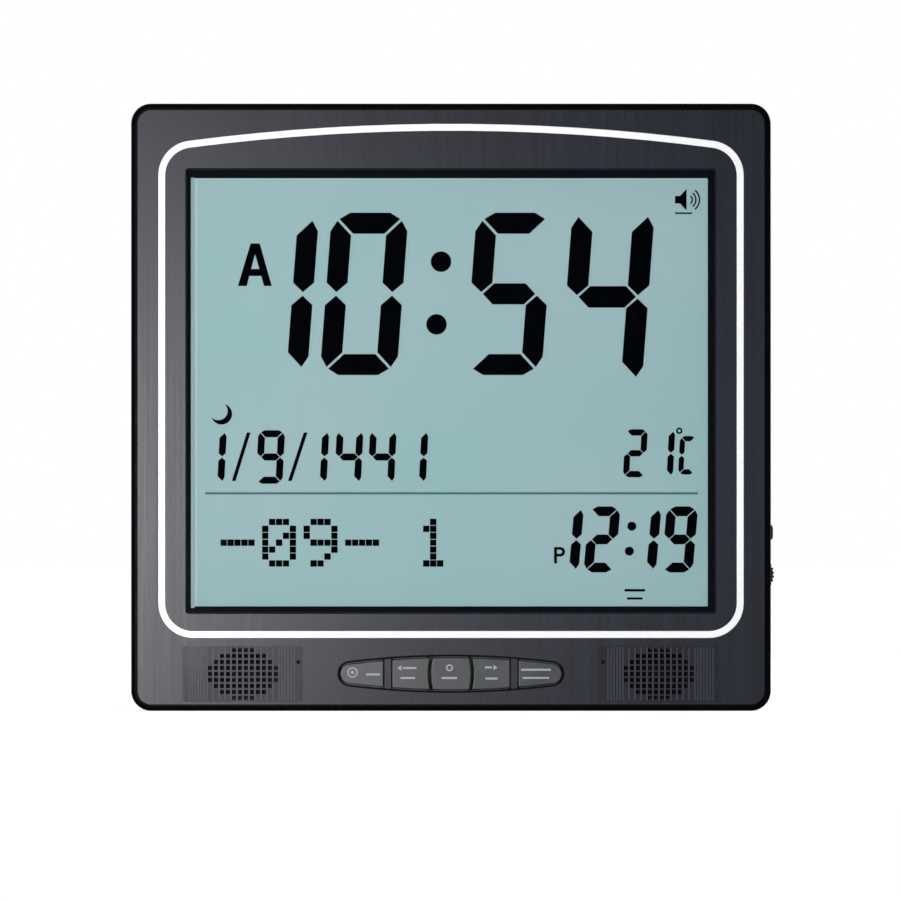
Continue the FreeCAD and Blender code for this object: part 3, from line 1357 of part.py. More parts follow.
def make_stand():
    span = ("leg_bottom", "leg_hinge_level")
    panel = block("leg_panel", ("-leg_width / 2", "leg_width / 2"), ("leg_y", "leg_y + leg_thickness"), span)
    knuckle = rod("leg_knuckle", "knuckle_radius", "x", "-leg_width / 2", "leg_width / 2",
                  y="hinge_y", z="leg_hinge_level")
    bore = rod("leg_bore", "hinge_radius + hinge_gap", "x", "-leg_width / 2", "leg_width / 2",
               y="hinge_y", z="leg_hinge_level")
    rib_span = ("leg_bottom + 2 * leg_rib_width", "leg_hinge_level - knuckle_radius - leg_rib_width")
    hollow = block("leg_hollow", ("-leg_width / 2 + leg_rib_width", "leg_width / 2 - leg_rib_width"),
                   ("leg_y + leg_thickness - leg_rib_depth", "leg_y + leg_thickness"), rib_span)
    rib = block("leg_middle_rib", ("-leg_rib_width / 2", "leg_rib_width / 2"),
                ("leg_y", "leg_y + leg_thickness"), rib_span)
    shaped = cut("leg_tray", fuse("leg_blank", [panel, knuckle]), [hollow])
    leg = cut("stand_leg", fuse("leg_with_rib", [shaped, rib]), [bore])
    pad_block = block("stand_leg_pad", ("-leg_width / 2 + leg_rib_width", "leg_width / 2 - leg_rib_width"),
                      ("leg_y", "leg_y + leg_thickness"), ("leg_bottom - leg_pad_height", "leg_bottom"))
    hinge = rod("stand_hinge_rod", "hinge_radius", "x", "-rod_reach", "rod_reach",
                y="hinge_y", z="leg_hinge_level")
    return [leg, pad_block, hinge]


# The wires inside. Each is a round section along straight runs joined by tangent arcs.

bend_share = 0.45


def lead(label, route):
    points = [Vector(*(number(text) for text in point)) for point in route]
    radius = number("lead_radius")
    edges = []
    start = points[0]
    for before, corner, after in zip(points, points[1:], points[2:]):
        towards = (corner - before).normalize()
        onwards = (after - corner).normalize()
        turn = math.acos(max(-1.0, min(1.0, towards.dot(onwards))))
        shorter = min((corner - before).Length, (after - corner).Length)
        bend = bend_share * shorter / math.tan(turn / 2)
        print(f"{label}: bend radius {bend:.2f} mm")
        reach = bend * math.tan(turn / 2)
        first = corner - towards * reach
        last = corner + onwards * reach
        inward = (onwards - towards).normalize()
        middle = corner + inward * (bend / math.cos(turn / 2) - bend)
        edges.append(Part.LineSegment(start, first).toShape())
        edges.append(Part.Arc(first, middle, last).toShape())
        start = last
    edges.append(Part.LineSegment(start, points[-1]).toShape())
    path = Part.Wire(edges)
    section = Part.Wire(Part.Circle(points[0], points[1] - points[0], radius).toShape())
    feature = doc.addObject("Part::Feature", label)
    feature.Shape = path.makePipeShell([section], True, False)
    expected = math.pi * radius * radius * path.Length
    if abs(feature.Shape.Volume - expected) > 0.01 * expected:
        raise RuntimeError(f"{label} isn't a plain round lead")
    return feature


def make_leads():
    speaker = []
    for name, side in (("left", -1), ("right", 1)):
        for index in range(2):
            start_x = f"{side} * (speaker_place - speaker_lead_start) + {index} * lead_spacing"
            end_x = f"{side} * (speaker_place - speaker_lead_end) + {index} * lead_spacing"
            landing = "view_centre - board_height / 2 + speaker_lead_landing"
            level = "speaker_level + speaker_lead_rise"
            speaker.append(lead(f"{name}_speaker_lead_{index}", [
                (start_x, "speaker_back_y", level),
                (start_x, "speaker_back_y + speaker_lead_back", level),
                (end_x, "board_back_y + speaker_lead_loop", landing),
                (end_x, "board_back_y", landing),
            ]))
    battery = []
    low = "bay_level - bay_height / 2 - bay_wall"
    for index, x in enumerate(("bay_low_x + battery_lead_inset", "bay_high_x - battery_lead_inset")):
        battery.append(lead(f"battery_lead_{index}", [
            (x, "cell_y", low),
            (x, "cell_y", f"{low} - battery_lead_drop"),
            (x, "board_back_y", f"{low} - battery_lead_drop"),
        ]))
    return [group("speaker_leads", speaker), group("battery_leads", battery)]


def make_all():
    nodes = [make_front_bezel(), make_trim_ring(), make_display_window(), make_lcd_frame()]
    nodes += make_display_glass()
    nodes += [make_backlight_leds(), make_zebra_strips(), make_main_board(), make_board_link()]
    nodes += make_screws()
    nodes += make_board_parts()
    nodes += make_key_board()
    nodes += make_keys()
    for name, side in (("left", "-"), ("right", "")):
        nodes.append(make_grille(name, side))
        nodes += make_speaker(name, side)
    nodes += make_side_controls()
    nodes.append(make_rear_case())
    nodes += make_batteries()
    nodes.append(make_battery_door())
    nodes += make_stand()
    nodes += make_leads()
    return nodes


def check_document(nodes):
    for item in doc.Objects:
        if "Invalid" in item.State or "Error" in item.State:
            raise RuntimeError(f"{item.Name} failed: {item.State}")
    for node in nodes:
        if node.Shape.isNull() or not node.Shape.isValid():
            raise RuntimeError(f"{node.Label} has no valid shape")


all_nodes = make_all()
doc.recompute()
check_document(all_nodes)
os.makedirs("parts", exist_ok=True)
for node in all_nodes:
    node.Shape.exportStep(f"parts/{node.Label}.step")
    print(f"{node.Label}: {len(node.Shape.Solids)} solids, {node.Shape.Volume / 1000:.2f} cm3")
print(f"{len(all_nodes)} nodes")
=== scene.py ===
import math

import bmesh
import bpy
from mathutils import Matrix, Vector


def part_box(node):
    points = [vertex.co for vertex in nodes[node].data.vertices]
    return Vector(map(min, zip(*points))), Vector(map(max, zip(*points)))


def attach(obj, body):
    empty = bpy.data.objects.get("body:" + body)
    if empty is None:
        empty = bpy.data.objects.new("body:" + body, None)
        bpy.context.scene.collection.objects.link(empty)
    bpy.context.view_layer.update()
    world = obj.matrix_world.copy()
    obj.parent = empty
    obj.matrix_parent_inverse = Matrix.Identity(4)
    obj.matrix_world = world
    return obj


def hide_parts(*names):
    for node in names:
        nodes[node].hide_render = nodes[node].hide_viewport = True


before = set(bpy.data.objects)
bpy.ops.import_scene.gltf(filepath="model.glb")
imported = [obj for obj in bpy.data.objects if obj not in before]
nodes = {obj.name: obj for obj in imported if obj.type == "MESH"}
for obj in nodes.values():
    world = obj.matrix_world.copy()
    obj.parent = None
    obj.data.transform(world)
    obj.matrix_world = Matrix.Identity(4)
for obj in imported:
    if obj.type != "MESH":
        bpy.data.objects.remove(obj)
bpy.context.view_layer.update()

scene = bpy.context.scene
scene.view_settings.view_transform = "Standard"
mm = 0.001


# Small helpers for names, colours and node trees

def camelCase(name):
    first, *rest = name.split("_")
    return first + "".join(word.capitalize() for word in rest)


def rgb(red, green, blue):
    # a colour as a screen shows it, 0 to 255, turned into the linear values that shaders take
    def linear(channel):
        share = channel / 255
        return share / 12.92 if share <= 0.04045 else ((share + 0.055) / 1.055) ** 2.4
    return (linear(red), linear(green), linear(blue), 1.0)


def shade(colour, share):
    return tuple(channel * share for channel in colour[:3]) + (1.0,)


def addNode(tree, kind, inputs=None, **settings):
    made = tree.nodes.new(kind)
    for name, value in settings.items():
        setattr(made, name, value)
    for name, value in (inputs or {}).items():
        if isinstance(value, bpy.types.NodeSocket):
            tree.links.new(value, made.inputs[name])
        else:
            made.inputs[name].default_value = value
    return made


def mixColours(tree, factor, first, second):
    # 0, 6 and 7 are the factor, A and B of a colour mix, and output 2 is its result
    made = addNode(tree, "ShaderNodeMix", data_type="RGBA")
    for index, value in ((0, factor), (6, first), (7, second)):
        if isinstance(value, bpy.types.NodeSocket):
            tree.links.new(value, made.inputs[index])
        else:
            made.inputs[index].default_value = value
    return made.outputs[2]


def remap(tree, value, low, high, newLow, newHigh):
    made = addNode(tree, "ShaderNodeMapRange", {"Value": value, "From Min": low, "From Max": high,
                                                "To Min": newLow, "To Max": newHigh})
    return made.outputs["Result"]


def spread(tree, value, low=0.0, high=1.0):
    # most of a noise lies between 0.3 and 0.7
    return remap(tree, value, 0.3, 0.7, low, high)


def calculate(tree, operation, first, second):
    return addNode(tree, "ShaderNodeMath", {0: first, 1: second}, operation=operation).outputs[0]


def objectPlace(tree, stretch=(1, 1, 1)):
    place = addNode(tree, "ShaderNodeTexCoord").outputs["Object"]
    return addNode(tree, "ShaderNodeMapping", {"Vector": place, "Scale": stretch}).outputs["Vector"]


def noise(tree, place, scale, detail=2.0, roughness=0.5):
    made = addNode(tree, "ShaderNodeTexNoise", {"Vector": place, "Scale": scale, "Detail": detail,
                                                "Roughness": roughness})
    return made.outputs["Fac"]


def swayed(tree, pattern, span, grain, roughness, sway=0.03):
    # a roughness that follows a pattern, and sways a little with the grain
    return calculate(tree, "ADD", remap(tree, pattern, *span, *roughness), spread(tree, grain, -sway, sway))


def startMaterial(name, sockets):
    material = bpy.data.materials.new(name)
    material.use_nodes = True
    shader = material.node_tree.nodes["Principled BSDF"]
    for socket, value in sockets.items():
        shader.inputs[socket].default_value = value
    return material, material.node_tree, shader


def dress(tree, shader, colour, roughness, height=None, depth=0.0, strength=1.0):
    # the colour and roughness of a finish, and its bump where it has a height
    tree.links.new(colour, shader.inputs["Base Color"])
    tree.links.new(roughness, shader.inputs["Roughness"])
    if height is not None:
        bump = addNode(tree, "ShaderNodeBump", {"Height": height, "Distance": depth * mm,
                                                "Strength": strength})
        tree.links.new(bump.outputs["Normal"], shader.inputs["Normal"])


# Finishes that share one build: a cloudy tone, a fine grain and an uneven roughness.
# cloud and grain are the scales of their noises, and depth is the height of the grain in millimetres

finishes = {
    "rear_plastic": {"colour": rgb(42, 44, 49), "tone": 0.08, "cloud": 35, "roughness": (0.6, 0.7),
                     "grain": 850, "depth": 0.14, "specular": 0.2},
    "grille_plastic": {"colour": rgb(6, 9, 24), "tone": 0.2, "cloud": 90, "roughness": (0.3, 0.36),
                       "grain": 2200, "depth": 0.006, "specular": 0.13},
    "key_grey": {"colour": rgb(27, 30, 36), "tone": 0.18, "cloud": 160, "roughness": (0.28, 0.34),
                 "grain": 2600, "depth": 0.006, "specular": 0.28},
    "plunger_grey": {"colour": rgb(90, 94, 98), "tone": 0.1, "cloud": 120, "roughness": (0.4, 0.5),
                     "grain": 2000, "depth": 0.02, "specular": 0.4},
    "control_black": {"colour": rgb(9, 10, 12), "tone": 0.2, "cloud": 200, "roughness": (0.3, 0.42),
                      "grain": 2400, "depth": 0.02, "specular": 0.25},
    # the case's own dark plastic, painted darker still and given almost no specular: painted shade standing
    # in for the dark that the glossy round of the edge reflects
    "rim_gloss": {"colour": rgb(3, 4, 6), "tone": 0.2, "cloud": 80, "roughness": (0.3, 0.4),
                  "grain": 2600, "depth": 0.003, "specular": 0.015},
    "pad_rubber": {"colour": rgb(24, 24, 25), "tone": 0.25, "cloud": 250, "roughness": (0.75, 0.9),
                   "grain": 900, "depth": 0.08, "specular": 0.25},
    "gasket_foam": {"colour": rgb(40, 40, 42), "tone": 0.3, "cloud": 600, "roughness": (0.85, 0.95),
                    "grain": 1300, "depth": 0.2, "specular": 0.1},
    "zebra_rubber": {"colour": rgb(214, 150, 150), "tone": 0.12, "cloud": 400, "roughness": (0.6, 0.75),
                     "grain": 1400, "depth": 0.03, "specular": 0.3},
    "display_back": {"colour": rgb(140, 168, 172), "tone": 0.05, "cloud": 60, "roughness": (0.2, 0.3),
                     "grain": 2000, "depth": 0.005, "specular": 0.4},
    "film": {"colour": rgb(188, 194, 190), "tone": 0.06, "cloud": 80, "roughness": (0.3, 0.42),
             "grain": 2400, "depth": 0.01, "specular": 0.4},
    "guide_white": {"colour": rgb(232, 234, 232), "tone": 0.04, "cloud": 50, "roughness": (0.25, 0.4),
                    "grain": 700, "depth": 0.03, "specular": 0.4},
    "led_white": {"colour": rgb(240, 236, 206), "tone": 0.08, "cloud": 500, "roughness": (0.3, 0.4),
                  "grain": 2000, "depth": 0.01, "specular": 0.4},
    "circuit_board": {"colour": rgb(28, 84, 50), "tone": 0.2, "cloud": 200, "roughness": (0.3, 0.45),
                      "grain": 900, "depth": 0.02, "specular": 0.4},
    "chip_black": {"colour": rgb(8, 8, 10), "tone": 0.25, "cloud": 300, "roughness": (0.5, 0.65),
                   "grain": 1600, "depth": 0.03, "specular": 0.12},
    "switch_black": {"colour": rgb(10, 10, 12), "tone": 0.2, "cloud": 260, "roughness": (0.5, 0.6),
                     "grain": 2200, "depth": 0.02, "specular": 0.12},
    "magnet_grey": {"colour": rgb(84, 86, 90), "tone": 0.25, "cloud": 220, "roughness": (0.45, 0.65),
                    "grain": 1500, "depth": 0.04, "specular": 0.4},
    "cone_film": {"colour": rgb(9, 9, 12), "tone": 0.2, "cloud": 260, "roughness": (0.5, 0.7),
                  "grain": 1200, "depth": 0.05, "specular": 0.1},
    "capacitor_sleeve": {"colour": rgb(30, 44, 96), "tone": 0.15, "cloud": 300, "roughness": (0.25, 0.35),
                         "grain": 2000, "depth": 0.01, "specular": 0.45},
    "ribbon": {"colour": rgb(206, 206, 200), "tone": 0.1, "cloud": 300, "roughness": (0.5, 0.6),
               "grain": 1800, "depth": 0.02, "specular": 0.3},
    "lead_insulation": {"colour": rgb(150, 26, 24), "tone": 0.15, "cloud": 300, "roughness": (0.4, 0.5),
                        "grain": 1800, "depth": 0.01, "specular": 0.4},
    "cell_jacket": {"colour": rgb(196, 130, 50), "tone": 0.08, "cloud": 120, "roughness": (0.22, 0.34),
                    "grain": 1600, "depth": 0.01, "specular": 0.45},
}
cloudSpan = (0.35, 0.65)  # the middle of a cloud noise, which the roughness follows


def grained(name, look):
    material, tree, shader = startMaterial(name, {"Specular IOR Level": look["specular"]})
    place = objectPlace(tree)
    cloud = noise(tree, place, look["cloud"], 3.0)
    grain = noise(tree, place, look["grain"])
    dark = shade(look["colour"], 1 - look["tone"])
    light = shade(look["colour"], 1 + look["tone"])
    rough = swayed(tree, cloud, cloudSpan, grain, look["roughness"])
    dress(tree, shader, mixColours(tree, spread(tree, cloud), dark, light), rough, grain, look["depth"])
    return material


metals = {
    "screw_steel": {"colour": rgb(176, 178, 182), "roughness": (0.24, 0.42), "scratch": (900, 60, 900)},
    "contact_steel": {"colour": rgb(198, 196, 188), "roughness": (0.2, 0.36), "scratch": (60, 700, 700)},
    "crystal_can": {"colour": rgb(190, 192, 194), "roughness": (0.2, 0.34), "scratch": (80, 600, 600)},
    "speaker_steel": {"colour": rgb(150, 152, 150), "roughness": (0.34, 0.5), "scratch": (300, 300, 60)},
}
steelStain = {"scale": 220, "span": (0.35, 0.7), "dark": 0.72}


def steel(name, look):
    material, tree, shader = startMaterial(name, {"Metallic": 1.0})
    scratches = noise(tree, objectPlace(tree, look["scratch"]), scale=1.0, detail=4.0, roughness=0.6)
    stain = noise(tree, objectPlace(tree), steelStain["scale"], detail=3.0)
    tone = mixColours(tree, remap(tree, stain, *steelStain["span"], 0, 1), look["colour"],
                      shade(look["colour"], steelStain["dark"]))
    rough = spread(tree, scratches, *look["roughness"])
    dress(tree, shader, tone, rough, scratches, depth=0.01, strength=0.6)
    return material


# Finishes of their own: the case, the display's border, the ring, the display and its window

casePlastic = {"colour": rgb(7, 11, 27), "streak": 0.36, "fine": (900, 200, 9), "fineShare": 0.6,
               "wide": (160, 60, 5), "span": (0.38, 0.62), "clouded": rgb(9, 14, 31), "cloudShare": 0.25,
               "cloud": 30, "grain": 2400, "depth": 0.004, "roughness": (0.28, 0.325), "specular": 0.165}


def makeCasePlastic(look):
    # fine and wide lines drawn out along the height
    material, tree, shader = startMaterial("casePlastic", {"Specular IOR Level": look["specular"]})
    place = objectPlace(tree)
    cloud = noise(tree, place, look["cloud"], 3.0)
    fineLines = noise(tree, objectPlace(tree, look["fine"]), scale=1.0, detail=3.0, roughness=0.65)
    wideLines = noise(tree, objectPlace(tree, look["wide"]), scale=1.0)
    grain = noise(tree, place, look["grain"])
    lines = calculate(tree, "ADD", calculate(tree, "MULTIPLY", fineLines, look["fineShare"]),
                      calculate(tree, "MULTIPLY", wideLines, 1 - look["fineShare"]))
    dark = shade(look["colour"], 1 - look["streak"])
    light = shade(look["colour"], 1 + look["streak"])
    tone = mixColours(tree, remap(tree, lines, *look["span"], 0, 1), dark, light)
    tone = mixColours(tree, spread(tree, cloud, 0, look["cloudShare"]), tone, look["clouded"])
    rough = swayed(tree, lines, look["span"], grain, look["roughness"])
    dress(tree, shader, tone, rough, grain, look["depth"])
    return material


displayBorder = {"colour": rgb(5, 7, 11), "dark": 0.7, "speckle": 1800, "roughness": (0.55, 0.65),
                 "specular": 0.03, "lip": rgb(150, 170, 172), "lipLeft": -104.1 * mm,
                 "lipRight": -102.6 * mm, "lipLow": 41.2 * mm, "lipHigh": 213.4 * mm}


def makeBorder(look):
    # black, with a pale lip down the left of the display
    material, tree, shader = startMaterial("displayBorder", {"Specular IOR Level": look["specular"]})
    place = addNode(tree, "ShaderNodeTexCoord").outputs["Object"]
    axes = addNode(tree, "ShaderNodeSeparateXYZ", {"Vector": place}).outputs
    inside = 1.0
    for axis, test, edge in (("X", "GREATER_THAN", "lipLeft"), ("X", "LESS_THAN", "lipRight"),
                             ("Z", "GREATER_THAN", "lipLow"), ("Z", "LESS_THAN", "lipHigh")):
        inside = calculate(tree, "MULTIPLY", inside, calculate(tree, test, axes[axis], look[edge]))
    speckle = noise(tree, place, look["speckle"])
    black = mixColours(tree, spread(tree, speckle), look["colour"], shade(look["colour"], look["dark"]))
    dress(tree, shader, mixColours(tree, inside, black, look["lip"]),
          spread(tree, speckle, *look["roughness"]))
    return material


trimWhite = {"colour": rgb(249, 250, 252), "dark": 0.97, "cloud": 40, "uneven": 500, "ripple": 300,
             "depth": 0.01, "roughness": (0.22, 0.34), "specular": 0.4}


def makeTrimWhite(look):
    material, tree, shader = startMaterial("trimWhite", {"Specular IOR Level": look["specular"]})
    place = objectPlace(tree)
    cloud = remap(tree, noise(tree, place, look["cloud"], 3.0), *cloudSpan, 0, 1)
    tone = mixColours(tree, cloud, look["colour"], shade(look["colour"], look["dark"]))
    rough = spread(tree, noise(tree, place, look["uneven"]), *look["roughness"])
    dress(tree, shader, tone, rough, noise(tree, place, look["ripple"], 1.0), look["depth"])
    return material


displayField = {"colour": rgb(153, 184, 186), "warm": rgb(163, 184, 188), "cloud": 14,
                "span": (0.35, 0.7), "dark": 0.85, "darkShare": 0.12, "speckle": 1800,
                "roughness": (0.7, 0.8), "specular": 0.02}


def makeDisplayField(look):
    material, tree, shader = startMaterial("displayField", {"Specular IOR Level": look["specular"]})
    place = objectPlace(tree)
    cloud = noise(tree, place, look["cloud"])
    speckle = noise(tree, place, look["speckle"], 1.0)
    tone = mixColours(tree, remap(tree, cloud, *look["span"], 0, 1), look["colour"], look["warm"])
    tone = mixColours(tree, spread(tree, speckle, 0, look["darkShare"]), tone,
                      shade(look["colour"], look["dark"]))
    dress(tree, shader, tone, spread(tree, speckle, *look["roughness"]))
    return material


windowClear = {"bend": 1.02, "roughness": 0.06, "smudge": 90, "tint": rgb(252, 254, 254)}


def makeWindowClear(look):
    # a thin treated pane: it mirrors only at a low angle
    material, tree, shader = startMaterial("windowClear", {})
    tree.nodes.remove(shader)
    clear = addNode(tree, "ShaderNodeBsdfTransparent", {"Color": look["tint"]})
    smudge = noise(tree, objectPlace(tree), look["smudge"], 3.0)
    rough = spread(tree, smudge, look["roughness"], look["roughness"] * 2)
    gloss = addNode(tree, "ShaderNodeBsdfGlossy", {"Roughness": rough})
    angle = addNode(tree, "ShaderNodeFresnel", {"IOR": look["bend"]})
    mixed = addNode(tree, "ShaderNodeMixShader", {0: angle.outputs[0], 1: clear.outputs[0],
                                                  2: gloss.outputs[0]})
    tree.links.new(mixed.outputs[0], tree.nodes["Material Output"].inputs["Surface"])
    return material


# Inks and paints of what only the scene adds

paints = {
    "figureInk": {"colour": rgb(3, 5, 8), "roughness": (0.8, 0.9), "specular": 0.0},
    "fadedInk": {"colour": rgb(84, 114, 116), "roughness": (0.8, 0.9), "specular": 0.0},
    "paleEdge": {"colour": rgb(176, 196, 200), "roughness": (0.7, 0.8), "specular": 0.0},
    "keyMarkPaint": {"colour": rgb(168, 171, 177), "roughness": (0.6, 0.7), "specular": 0.1},
    # the ribs' plastic, painted lighter than the grille: a painted highlight for the light their ridges catch
    "ribPlastic": {"colour": rgb(20, 24, 42), "roughness": (0.36, 0.44), "specular": 0.24},
    # the near black of the painted shade round the key pod
    "softBlack": {"colour": rgb(5, 6, 9), "roughness": (0.6, 0.7), "specular": 0.04},
}
paintSpeckle = {"scale": 1500, "dark": 0.9}


def makePaint(name, look):
    material, tree, shader = startMaterial(name, {"Specular IOR Level": look["specular"]})
    speckle = noise(tree, objectPlace(tree), paintSpeckle["scale"])
    tone = mixColours(tree, spread(tree, speckle), look["colour"],
                      shade(look["colour"], paintSpeckle["dark"]))
    dress(tree, shader, tone, spread(tree, speckle, *look["roughness"]))
    return material


print("finishes")
slotFinish = {}
for slotName, look in finishes.items():
    slotFinish[slotName] = grained(camelCase(slotName) + "Finish", look)
for slotName, look in metals.items():
    slotFinish[slotName] = steel(camelCase(slotName) + "Finish", look)
slotFinish["case_plastic"] = makeCasePlastic(casePlastic)
slotFinish["border_black"] = makeBorder(displayBorder)
slotFinish["trim_white"] = makeTrimWhite(trimWhite)
slotFinish["display_face"] = makeDisplayField(displayField)
slotFinish["window_clear"] = makeWindowClear(windowClear)
paint = {name: makePaint(name, look) for name, look in paints.items()}

for part in nodes.values():
    for materialSlot in part.material_slots:
        slotName = materialSlot.material.name.split(".")[0]
        materialSlot.material = slotFinish[slotName]


# Outlines, as lists of places along the width and the height

def circle(centreX, centreZ, radius, points=40):
    turns = [2 * math.pi * i / points for i in range(points)]
    return [(centreX + radius * math.cos(t), centreZ + radius * math.sin(t)) for t in turns]


def rectangle(left, low, right, high):
    return [(left, low), (right, low), (right, high), (left, high)]


def slash(lowX, lowZ, highX, highZ, width):
    half = width / 2
    return [(lowX - half, lowZ), (lowX + half, lowZ), (highX + half, highZ), (highX - half, highZ)]


def arcPoints(centreX, centreZ, radius, start, end, points=24):
    turns = [math.radians(start + (end - start) * i / (points - 1)) for i in range(points)]
    return [(centreX + radius * math.cos(t), centreZ + radius * math.sin(t)) for t in turns]


def arcBand(centreX, centreZ, radius, stroke, start, end, points=20):
    return (arcPoints(centreX, centreZ, radius + stroke / 2, start, end, points)
            + arcPoints(centreX, centreZ, radius - stroke / 2, end, start, points))


def crescent(centreX, centreZ, radius, hollowX, hollowZ, hollowRadius):
    # a disc less a second disc: outer and inner are half the angles between the points where they meet
    span = math.hypot(hollowX - centreX, hollowZ - centreZ)
    toward = math.degrees(math.atan2(hollowZ - centreZ, hollowX - centreX))
    outer = math.degrees(math.acos((radius ** 2 + span ** 2 - hollowRadius ** 2) / (2 * radius * span)))
    inner = math.degrees(math.acos((hollowRadius ** 2 + span ** 2 - radius ** 2) / (2 * hollowRadius * span)))
    hollow = arcPoints(hollowX, hollowZ, hollowRadius, toward + 180 + inner, toward + 180 - inner, 48)
    return arcPoints(centreX, centreZ, radius, toward + outer, toward + 360 - outer, 48) + hollow[1:-1]


def roundedRectangle(left, low, right, high, radius, points=12):
    loop = []
    for centreX, centreZ, start in ((right - radius, high - radius, 0), (left + radius, high - radius, 90),
                                    (left + radius, low + radius, 180), (right - radius, low + radius, 270)):
        loop += arcPoints(centreX, centreZ, radius, start, start + 90, points)
    return loop


# Pieces made from outlines

def plainMesh(holder):
    # the evaluated object as a mesh of its own, after which the holder and its modifiers go
    seen = holder.evaluated_get(bpy.context.evaluated_depsgraph_get())
    mesh = bpy.data.meshes.new_from_object(seen)
    bpy.data.objects.remove(holder)
    return mesh


def addPiece(name, mesh, finish, body):
    mesh.materials.clear()
    mesh.materials.append(finish)
    piece = bpy.data.objects.new(name, mesh)
    scene.collection.objects.link(piece)
    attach(piece, body)


def flatPiece(name, loops, front, depth, finish, body="case"):
    curve = bpy.data.curves.new(name + "Outline", "CURVE")
    curve.dimensions = "2D"
    curve.fill_mode = "BOTH"
    curve.extrude = depth / 2
    for loop in loops:
        spline = curve.splines.new("POLY")
        spline.points.add(len(loop) - 1)
        spline.use_cyclic_u = True
        for point, (x, z) in zip(spline.points, loop):
            point.co = (x, z, 0, 1)
    holder = bpy.data.objects.new(name + "Outline", curve)
    scene.collection.objects.link(holder)
    mesh = plainMesh(holder)
    upright = Matrix.Rotation(math.radians(90), 4, "X")
    mesh.transform(Matrix.Translation((0, front + depth / 2, 0)) @ upright)
    addPiece(name, mesh, finish, body)


inkDepth = 0.1 * mm
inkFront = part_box("lcd_front_glass")[0].y - inkDepth


def inkPiece(name, loops, finish=paint["figureInk"]):
    flatPiece(name, loops, inkFront, inkDepth, finish)


# Figures of the display, each made of lit segments. a is the top bar, b and c the right side,
# d the bottom bar, e and f the left side, g the middle bar

litSegments = {"0": "abcdef", "1": "bc", "2": "abged", "4": "fgbc", "5": "afgcd", "9": "abcdfg", "C": "afed"}
segmentEnds = {"tip": 0.3, "shoulder": 0.8, "waist": 0.45}  # as shares of the stroke


def segmentOutline(letter, look):
    wide, high, stroke = look["width"], look["height"], look["stroke"]
    clear = look["gap"] * math.sqrt(0.5)
    tip, shoulder, waist = [segmentEnds[part] * stroke for part in ("tip", "shoulder", "waist")]
    upright = [(0, high / 2 + waist + clear), (0, high - shoulder - clear), (tip, high - tip - clear),
               (stroke, high - stroke - clear), (stroke, high / 2 + waist + clear),
               (stroke / 2, high / 2 + clear)]
    bar = [(tip + clear, high - tip), (shoulder + clear, high), (wide - shoulder - clear, high),
           (wide - tip - clear, high - tip), (wide - stroke - clear, high - stroke),
           (stroke + clear, high - stroke)]
    middle = [(stroke / 2 + clear, high / 2), (stroke + clear, (high + stroke) / 2),
              (wide - stroke - clear, (high + stroke) / 2), (wide - stroke / 2 - clear, high / 2),
              (wide - stroke - clear, (high - stroke) / 2), (stroke + clear, (high - stroke) / 2)]
    points = {"a": bar, "d": bar, "g": middle}.get(letter, upright)
    if letter in "bc":
        points = [(wide - x, z) for x, z in points]
    if letter in "cde":
        points = [(x, high - z) for x, z in points]
    lean = math.tan(math.radians(look["lean"]))
    return [(x + z * lean, z) for x, z in points]


def figures(look):
    loops = []
    for character, left in look["figures"]:
        if character == "1":
            left -= look["width"] - look["stroke"]  # only its right side is lit
        for letter in litSegments[character]:
            outline = segmentOutline(letter, look)
            loops.append([(left + x, look["bottom"] + z) for x, z in outline])
    return loops


print("display figures")

bigTime = {"width": 30.8 * mm, "height": 65.0 * mm, "stroke": 8.4 * mm, "gap": 1.0 * mm, "lean": 4.3,
           "bottom": 134.4 * mm, "figures": [("1", -66.0 * mm), ("0", -52.6 * mm), ("5", 5.4 * mm)],
           "dots": [(-4.0 * mm, 179.8 * mm), (-5.8 * mm, 154.7 * mm)], "dotRadius": 4.1 * mm}
lastFigure = dict(bigTime, width=33.0 * mm, height=70.6 * mm, stroke=8.6 * mm, bottom=130.4 * mm,
                  figures=[("4", 43.4 * mm)])
inkPiece("bigTimeFigures", figures(bigTime) + figures(lastFigure)
         + [circle(x, z, bigTime["dotRadius"]) for x, z in bigTime["dots"]])

dateRow = {"width": 10.7 * mm, "height": 21.4 * mm, "stroke": 2.8 * mm, "gap": 0.35 * mm, "lean": 2.9,
           "bottom": 90.9 * mm,
           "figures": [("1", -93.6 * mm), ("9", -78.2 * mm), ("1", -52.6 * mm), ("4", -46.8 * mm),
                       ("4", -33.5 * mm), ("1", -12.9 * mm)],
           "slashes": [(-87.0 * mm, -81.0 * mm), (-64.5 * mm, -58.2 * mm)], "slashWidth": 1.5 * mm,
           "slashLow": 92.0 * mm, "slashHigh": 111.4 * mm}
inkPiece("dateFigures", figures(dateRow) + [
    slash(lowX, dateRow["slashLow"], highX, dateRow["slashHigh"], dateRow["slashWidth"])
    for lowX, highX in dateRow["slashes"]])

warmth = {"width": 9.0 * mm, "height": 19.2 * mm, "stroke": 2.5 * mm, "gap": 0.3 * mm, "lean": 3.0,
          "bottom": 93.5 * mm, "figures": [("2", 68.8 * mm), ("1", 86.3 * mm)]}
warmthUnit = {"width": 6.6 * mm, "height": 15.4 * mm, "stroke": 2.1 * mm, "gap": 0.3 * mm, "lean": 3.0,
              "bottom": 94.6 * mm, "figures": [("C", 90.9 * mm)],
              "ring": (91.4 * mm, 112.1 * mm), "ringOuter": 1.3 * mm, "ringInner": 0.6 * mm}
inkPiece("warmthFigures", figures(warmth) + figures(warmthUnit)
         + [circle(*warmthUnit["ring"], warmthUnit[edge], 24) for edge in ("ringOuter", "ringInner")])

